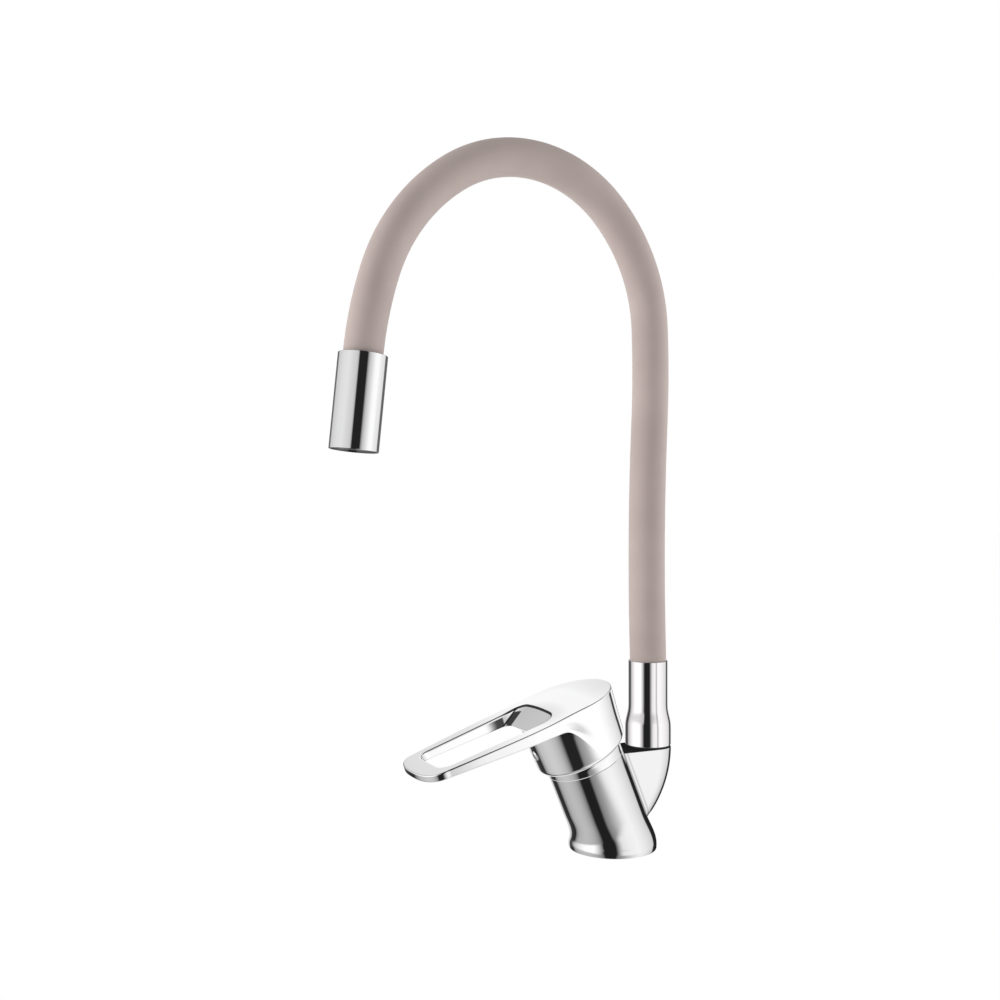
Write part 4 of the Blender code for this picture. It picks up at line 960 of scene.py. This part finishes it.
cap_shares = [(i / 10) ** 2 * CAP_ROUND for i in range(11)] + [0.2, 0.35, 0.5, 0.62]
cap_shares += [cap_end - FILLET / CAP_DEPTH * (1 - math.sin(math.pi / 2 * i / 8)) for i in range(9)]
outer = [[cap_point(share, angle, fillet_out(share, angle)) for angle in angles] for share in cap_shares]
bore = [Vector((CAP_BORE * math.cos(angle), CAP_BORE * math.sin(angle), 0)) for angle in angles]
inner = [[cap_place(share) @ corner for corner in bore] for share in (0.12, 0.3, 0.72)]
mouth = [cap_point(0, angle, -CAP_LIP) for angle in angles]
shape = bmesh.new()
loft(shape, [*outer[::-1], mouth, *inner], Matrix())
piece("lever_cap", shape, chrome("cap_chrome", arm_root, CAP_TONE), "chrome", "handle")


# The plug: a small domed steel button that closes the hole of the lever's set screw, with a
# dark shadow gap round it.
PLUG_HEIGHT = 74.0 * MM
PLUG_STEPS = 48
PLUG_TRIES = 12
PLUG_SHARE = 0.35

# (radius, how far out) in millimetres.
BUTTON = ((2.75, -0.4), (2.75, 0.1), (2.6, 0.35), (2.2, 0.6), (1.5, 0.82), (0.8, 0.94), (0.2, 0.98))
BUTTON_GAP = ((3.75, -0.4), (3.75, 0.03), (3.65, 0.06), (2.85, 0.06), (2.8, -0.4))


def plug_ring(radius, out):
    """A ring on the cap's front wall round the plug's middle, lifted off it by this much."""
    ring = []
    for i in range(PLUG_STEPS):
        x = radius * math.cos(math.tau * i / PLUG_STEPS)
        height = PLUG_HEIGHT + radius * math.sin(math.tau * i / PLUG_STEPS)
        share = PLUG_SHARE
        for _ in range(PLUG_TRIES):
            place = BARREL.inverted() @ cap_point(share, -math.acos(x / cap_radius(share)), out)
            share += (height - place.z) / CAP_DEPTH
        ring.append(BARREL @ place)
    return ring


shape = bmesh.new()
loft(shape, [plug_ring(radius * MM, out * MM) for radius, out in BUTTON], Matrix())
piece("index_button", shape, chrome("button_chrome"), "polished_steel", "handle", "index_plug")


def plain_finish(name, colour, roughness, metallic=0.0, grain=300, contrast=0.08, relief=0.1):
    """A moulded, turned or cast surface: one colour, with a little grain in it."""
    material = bpy.data.materials.new(name)
    nodes = Nodes(material)
    place = nodes.place()
    fine = nodes.noise(place, grain, 4)
    wide = nodes.noise(place, grain / 12, 2)
    dark = tuple(part * (1 - contrast) for part in colour)
    mottle = nodes.blend(nodes.step(wide * 0.6 + fine * 0.4, 0.35, 0.65), (*dark, 1), (*colour, 1))
    bump = nodes.bump(relief, 0.1 * MM, fine)
    rough = roughness - 0.05 + 0.1 * wide
    nodes.finish({"Base Color": mottle, "Roughness": rough, "Metallic": metallic, "Normal": bump})
    return material


rubber = plain_finish("black_rubber", (0.02, 0.02, 0.021), roughness=0.7, grain=900)
# The dark gap round the plug is a black ring in the rubber's finish, laid on the cap's wall: a painted
# shadow.
shape = bmesh.new()
loft(shape, [plug_ring(radius * MM, out * MM) for radius, out in BUTTON_GAP], Matrix(), True)
piece("index_gap", shape, rubber, "black_rubber", "handle")


# The coupling sleeve: turned and polished steel, slightly warmer than the chrome. It screws
# down on the spout's nipple, necks in, and holds the hose's end.
SPOUT = Matrix.Translation((0, SPOUT_BACK, 0))
MARK_SCALE = (3, 3, 2600)
MARK_DEPTH = 0.04 * MM
STEEL_DARK = (0.84, 0.815, 0.82, 1)
STEEL_LIGHT = (0.92, 0.90, 0.905, 1)
# The colour of the painted dark reflection on the sleeve's edges and in its faint line.
STEEL_REFLECTED_DARK = (0.06, 0.05, 0.05, 1)
EDGE_RISE = (0.54, 0.64)
# Where the painted reflection line runs round the sleeve: an angle set from the camera's azimuth.
REFLECTION_LINE = VIEW_AZIMUTH - math.pi / 2 + math.radians(18)
REFLECTION_LINE_RISE = (REFLECTION_LINE - 0.06, REFLECTION_LINE - 0.02)
REFLECTION_LINE_FALL = (REFLECTION_LINE + 0.02, REFLECTION_LINE + 0.06)

# (radius, height) in millimetres.
SLEEVE_PROFILE = (
    (12.4, 58.0), (13.2, 58.0), (13.48, 58.1), (13.55, 58.35), (13.55, 66), (13.5, 69.4),
    (13.3, 71.2), (12.9, 73.2), (12.35, 75.4), (11.95, 77.2), (11.7, 78.8), (11.58, 80.6),
    (11.55, 83), (11.55, 106.9), (11.48, 107.25), (11.25, 107.4), (11.0, 107.4), (11.0, 92),
    (10.4, 92), (10.4, 61.1), (12.4, 61.1),
)


def turned(name, profile, place, material, slot, body, *nodes, steps):
    """A turned piece: the closed line of (radius, height) corners, spun about its axis."""
    shape = bmesh.new()
    corners = [shape.verts.new((radius * MM, 0, height * MM)) for radius, height in profile]
    for first, second in zip(corners, corners[1:] + corners[:1]):
        shape.edges.new((first, second))
    bmesh.ops.spin(
        shape, geom=list(shape.verts) + list(shape.edges), cent=(0, 0, 0), axis=(0, 0, 1),
        angle=math.tau, steps=steps, use_merge=True,
    )
    bmesh.ops.transform(shape, matrix=place, verts=shape.verts)
    return piece(name, shape, material, slot, body, *nodes)


def turned_steel(name):
    """Polished steel with fine turning marks, and a painted dark reflection on its edges and in a faint
    line down one side.
    """
    material = bpy.data.materials.new(name)
    nodes = Nodes(material)
    place = nodes.place()
    rings = nodes.noise(nodes.scaled(place, MARK_SCALE), 1, 2)
    middle = nodes.vector("SUBTRACT", place, (0, SPOUT_BACK, 0))
    x, y = nodes.along(middle, 0), nodes.along(middle, 1)
    turn = x.math("ARCTAN2", y, x)
    reflection_line = nodes.band(turn, REFLECTION_LINE_RISE, REFLECTION_LINE_FALL) * 0.45
    haze = nodes.step(nodes.noise(place, 45, 3), 0.4, 0.7)
    colour = nodes.blend(rings, STEEL_DARK, STEEL_LIGHT)
    edge = nodes.step(nodes.facing(), *EDGE_RISE) * 0.9
    colour = nodes.blend(edge.most(reflection_line), colour, STEEL_REFLECTED_DARK)
    rough = 0.05 + 0.03 * haze
    bump = nodes.bump(0.06, MARK_DEPTH, rings)
    nodes.finish({"Base Color": colour, "Roughness": rough, "Metallic": 1.0, "Normal": bump})
    return material


turned(
    "coupling_sleeve_skin", SLEEVE_PROFILE, SPOUT, turned_steel("turned_steel"), "polished_steel",
    "spout_base", "coupling_sleeve", steps=96,
)


# The hose: a silicone sleeve with a dull, warm taupe skin, over a wound steel core that keeps
# its bend and a tube that carries the water. It is cut at no joint: each length holds one.
HOSE_RADIUS = 10.7 * MM
HOSE_WALL = 2.2 * MM
HOSE_LENGTH = 498 * MM
SLEEVE_TOP = 107.4 * MM
HOSE_START = -15.1 * MM
HOSE_END = HOSE_LENGTH + 8.7 * MM
CORE_RADIUS = 7.6 * MM
CORE_WALL = 1.7 * MM
CORE_RELIEF = 0.5 * MM
CORE_START = -26.7 * MM
CORE_END = HOSE_END + 5.2 * MM
TUBE_RADIUS = 5.1 * MM
TUBE_WALL = 1.2 * MM
TUBE_START = -31.1 * MM
RING_PITCH = 2 * MM

# The hose's centre line is a row of arcs: shares of its length, and their turns in degrees.
ARC_SHARES = (0.0161, 0.2673, 0.1129, 0.1513, 0.2105, 0.1502, 0.0917)
ARC_TURNS = (1.7, -4.4, 5.2, 42.1, 78.7, 39.1, 11.7)

# The hose is cut halfway between its joints. Each joint has a reach on both of its sides, and for
# two of the arch's joints the head's side comes first; nothing here bends the hose over them.
BODIES = ("spout_base", "riser", "arch_start", "arch_rise", "arch_top", "arch_fall", "spray_head")
HINGE_SHARES = (0.10, 0.27, 0.46, 0.58, 0.70, 0.82)
BEND_REACHES = (40 * MM, 40 * MM, 22 * MM, 22 * MM, 22 * MM, 22 * MM)
BENDS_FROM_HEAD = (2, 4)

BLOOM_DARK = (0.440, 0.362, 0.338, 1)
BLOOM_LIGHT = (0.478, 0.397, 0.372, 1)
DUST_COLOUR = (0.56, 0.49, 0.47, 1)
SILICONE_GRAIN = 0.06 * MM


def on_hose(distance):
    """(place, heading) on the hose's centre line, this far above the coupling sleeve's rim."""
    y, z, heading = SPOUT_BACK, SLEEVE_TOP, 0.0
    if distance <= 0:
        return Vector((0, y, z + distance)), 0.0
    left = distance
    for share, degrees in zip(ARC_SHARES, ARC_TURNS):
        run = HOSE_LENGTH * share
        part = min(left, run) / run
        bend = math.radians(degrees) * part
        radius = run / math.radians(degrees)
        y += radius * (math.cos(heading + bend) - math.cos(heading))
        z += radius * (math.sin(heading + bend) - math.sin(heading))
        heading += bend
        left -= min(left, run)
    return Vector((0, y - math.sin(heading) * left, z + math.cos(heading) * left)), heading


def hose_ring(distance, radius):
    place, heading = on_hose(distance)
    turn = Matrix.Translation(place) @ Matrix.Rotation(heading, 4, "X")
    return turn @ Matrix.Diagonal((radius, radius, 1, 1))


def hose_layer(name, bottom, top, radius, wall, material, slot, nodes, steps, relief=0.0):
    """One layer of the hose, as six lengths round one joint each."""
    hinges = [HOSE_LENGTH * share for share in HINGE_SHARES]
    cuts = [bottom, *((a + b) / 2 for a, b in zip(hinges, hinges[1:])), top]
    for i, (low, high) in enumerate(zip(cuts, cuts[1:])):
        count = round((high - low) / RING_PITCH)
        stops = [low + (high - low) * k / count for k in range(count + 1)]
        outer = [hose_ring(stop, radius - relief * (k % 2)) for k, stop in enumerate(stops)]
        inner = [hose_ring(stop, radius - wall) for stop in stops]
        shape = bmesh.new()
        skin(shape, [*outer, *inner[::-1], outer[0]], steps)
        made = piece(f"{name}_{i}", shape, material, slot, None, *nodes(i), level=False)
        near, far = BODIES[i], BODIES[i + 1]
        start, end = (on_hose(hinges[i] + hand * BEND_REACHES[i])[0] for hand in (-1, 1))
        if i in BENDS_FROM_HEAD:
            near, far, start, end = far, near, end, start
        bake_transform(made)


def silicone(name):
    """Dull silicone: a soft bloom on the skin, faint handling marks, and a fine moulded grain."""
    material = bpy.data.materials.new(name)
    nodes = Nodes(material)
    place = nodes.place()
    fine = nodes.noise(place, 1600, 3, 0.6)
    cloud = nodes.step(nodes.noise(place, 22, 3, 0.55), 0.35, 0.7)
    dust = nodes.step(nodes.noise(place, 420, 5, 0.7), 0.58, 0.72)
    colour = nodes.blend(cloud, BLOOM_DARK, BLOOM_LIGHT)
    colour = nodes.blend(dust * 0.10, colour, DUST_COLOUR)
    bump = nodes.bump(0.12, SILICONE_GRAIN, fine)
    nodes.finish({
        "Base Color": colour, "Roughness": 0.60 + 0.10 * cloud, "Normal": bump, "Sheen Weight": 0.12,
        "Sheen Roughness": 0.5, "Specular IOR Level": 0.35,
    })
    return material


def sleeve_nodes(i):
    """The sleeve has seven solids: the last of its six lengths stands for two of them."""
    return ["hose_sleeve_5", "hose_sleeve_6"] if i == 5 else [f"hose_sleeve_{i}"]


taupe = silicone("taupe_silicone")
hose_layer(
    "hose_skin", HOSE_START, HOSE_END, HOSE_RADIUS, HOSE_WALL, taupe, "taupe_silicone", sleeve_nodes, 64,
)
wound = plain_finish("wound_steel", (0.60, 0.60, 0.61), roughness=0.32, metallic=1.0, grain=700)
hose_layer(
    "hose_core", CORE_START, CORE_END, CORE_RADIUS, CORE_WALL, wound, "stainless_wire",
    lambda i: ["gooseneck_core"] if i == 0 else [], 24, CORE_RELIEF,
)
milky = plain_finish("milky_tube", (0.72, 0.74, 0.74), roughness=0.35, grain=200)
hose_layer(
    "hose_tube", TUBE_START, CORE_END, TUBE_RADIUS, TUBE_WALL, milky, "milky_tube",
    lambda i: ["water_tube"] if i == 0 else [], 20,
)


# The spray head: a chromed brass tube over the hose's end, with the aerator's steel ring and
# its dark honeycomb sunk a little into its mouth.
MOUTH_RADIUS = (12.6 * MM, 12.9 * MM)
MOUTH_EDGE = (0.60, 0.70)

# (radius, distance below the hose's end) in millimetres.
HEAD_PROFILE = (
    (11.0, 0), (12.75, 0), (12.98, 0.04), (13.18, 0.16), (13.25, 0.4), (13.25, 50.8),
    (13.18, 51.04), (12.98, 51.16), (12.75, 51.2), (11.95, 51.2), (11.9, 51.1), (11.9, 26),
    (4.6, 26), (4.6, 24), (10.4, 24), (10.4, 9), (11.0, 9),
)
AERATOR_PROFILE = (
    (11.6, 28.5), (11.6, 49.7), (11.35, 50), (9.1, 50), (8.9, 49.75), (8.7, 47.8), (10.1, 47.8),
    (10.1, 28.5),
)

head_place, head_turn = on_hose(HOSE_LENGTH)
HEAD = Matrix.Translation(head_place) @ Matrix.Rotation(head_turn, 4, "X")


def mouth_shade(nodes, place):
    """Painted shade on the inside of the head's mouth, and a painted dark reflection on its round edges.
    """
    spot = nodes.vector("SUBTRACT", place, head_place)
    across = nodes.vector("CROSS_PRODUCT", spot, HEAD.col[2].to_3d())
    radius = nodes.vector("LENGTH", across)
    inside = (1 - nodes.step(radius, *MOUTH_RADIUS)) * 0.88
    return inside.most(nodes.step(nodes.facing(), *MOUTH_EDGE) * 0.8)


head_chrome = chrome("head_chrome", mouth_shade)
turned(
    "spray_head_shell", HEAD_PROFILE, HEAD, head_chrome, "chrome", "spray_head", "nozzle_shell",
    steps=96,
)
dark_steel = plain_finish("aerator_steel", (0.20, 0.20, 0.205), roughness=0.28, metallic=1.0, grain=900)
turned(
    "aerator_ring", AERATOR_PROFILE, HEAD, dark_steel, "polished_steel", "spray_head",
    "aerator_housing", steps=72,
)


# What the tap holds inside keeps the shape of its solids: brass, rubber, ceramic, nylon,
# acetal and steel, each with its own grain.
brass = plain_finish("turned_brass", (0.72, 0.52, 0.22), roughness=0.3, metallic=1.0, grain=500)
ceramic = plain_finish(
    "white_ceramic", (0.86, 0.85, 0.82), roughness=0.16, grain=900, contrast=0.03, relief=0.03,
)
nylon = plain_finish("grey_nylon", (0.30, 0.31, 0.33), roughness=0.45, grain=500)
acetal = plain_finish("white_acetal", (0.78, 0.78, 0.76), roughness=0.38, grain=500)
stainless = plain_finish("stainless_steel", (0.60, 0.60, 0.61), roughness=0.25, metallic=1.0, grain=900)
shade = plain_finish("dark_mesh", (0.05, 0.05, 0.052), roughness=0.4, grain=900)
INNER_FINISHES = {
    "base_gasket": rubber, "hot_inlet_seal": rubber, "cold_inlet_seal": rubber, "outlet_seal": rubber,
    "lower_o_ring": rubber, "upper_o_ring": rubber, "head_washer": rubber, "aerator_seal": rubber,
    "cartridge_housing": nylon, "slip_washer": rubber, "fixed_ceramic_disc": ceramic,
    "moving_ceramic_disc": ceramic, "disc_carrier": acetal, "stem_rotor": acetal, "aerator_insert": acetal,
    "cartridge_nut": brass, "spout_nipple": brass, "gooseneck_lower_collar": brass,
    "gooseneck_head_collar": brass, "stem_pin": stainless, "lever_stem": stainless,
    "lever_set_screw": stainless, "retaining_clip": stainless, "inlet_screen": stainless,
    "outlet_mesh": shade,
}
for name, finish in INNER_FINISHES.items():
    node = frame["nodes"][name]
    node.data.materials.clear()
    node.data.materials.append(finish)

# The chrome mirrors the studio alone, as in the photo.
for thing in bpy.context.scene.objects:
    if thing.type == "MESH" and thing is not tent:
        thing.visible_glossy = False
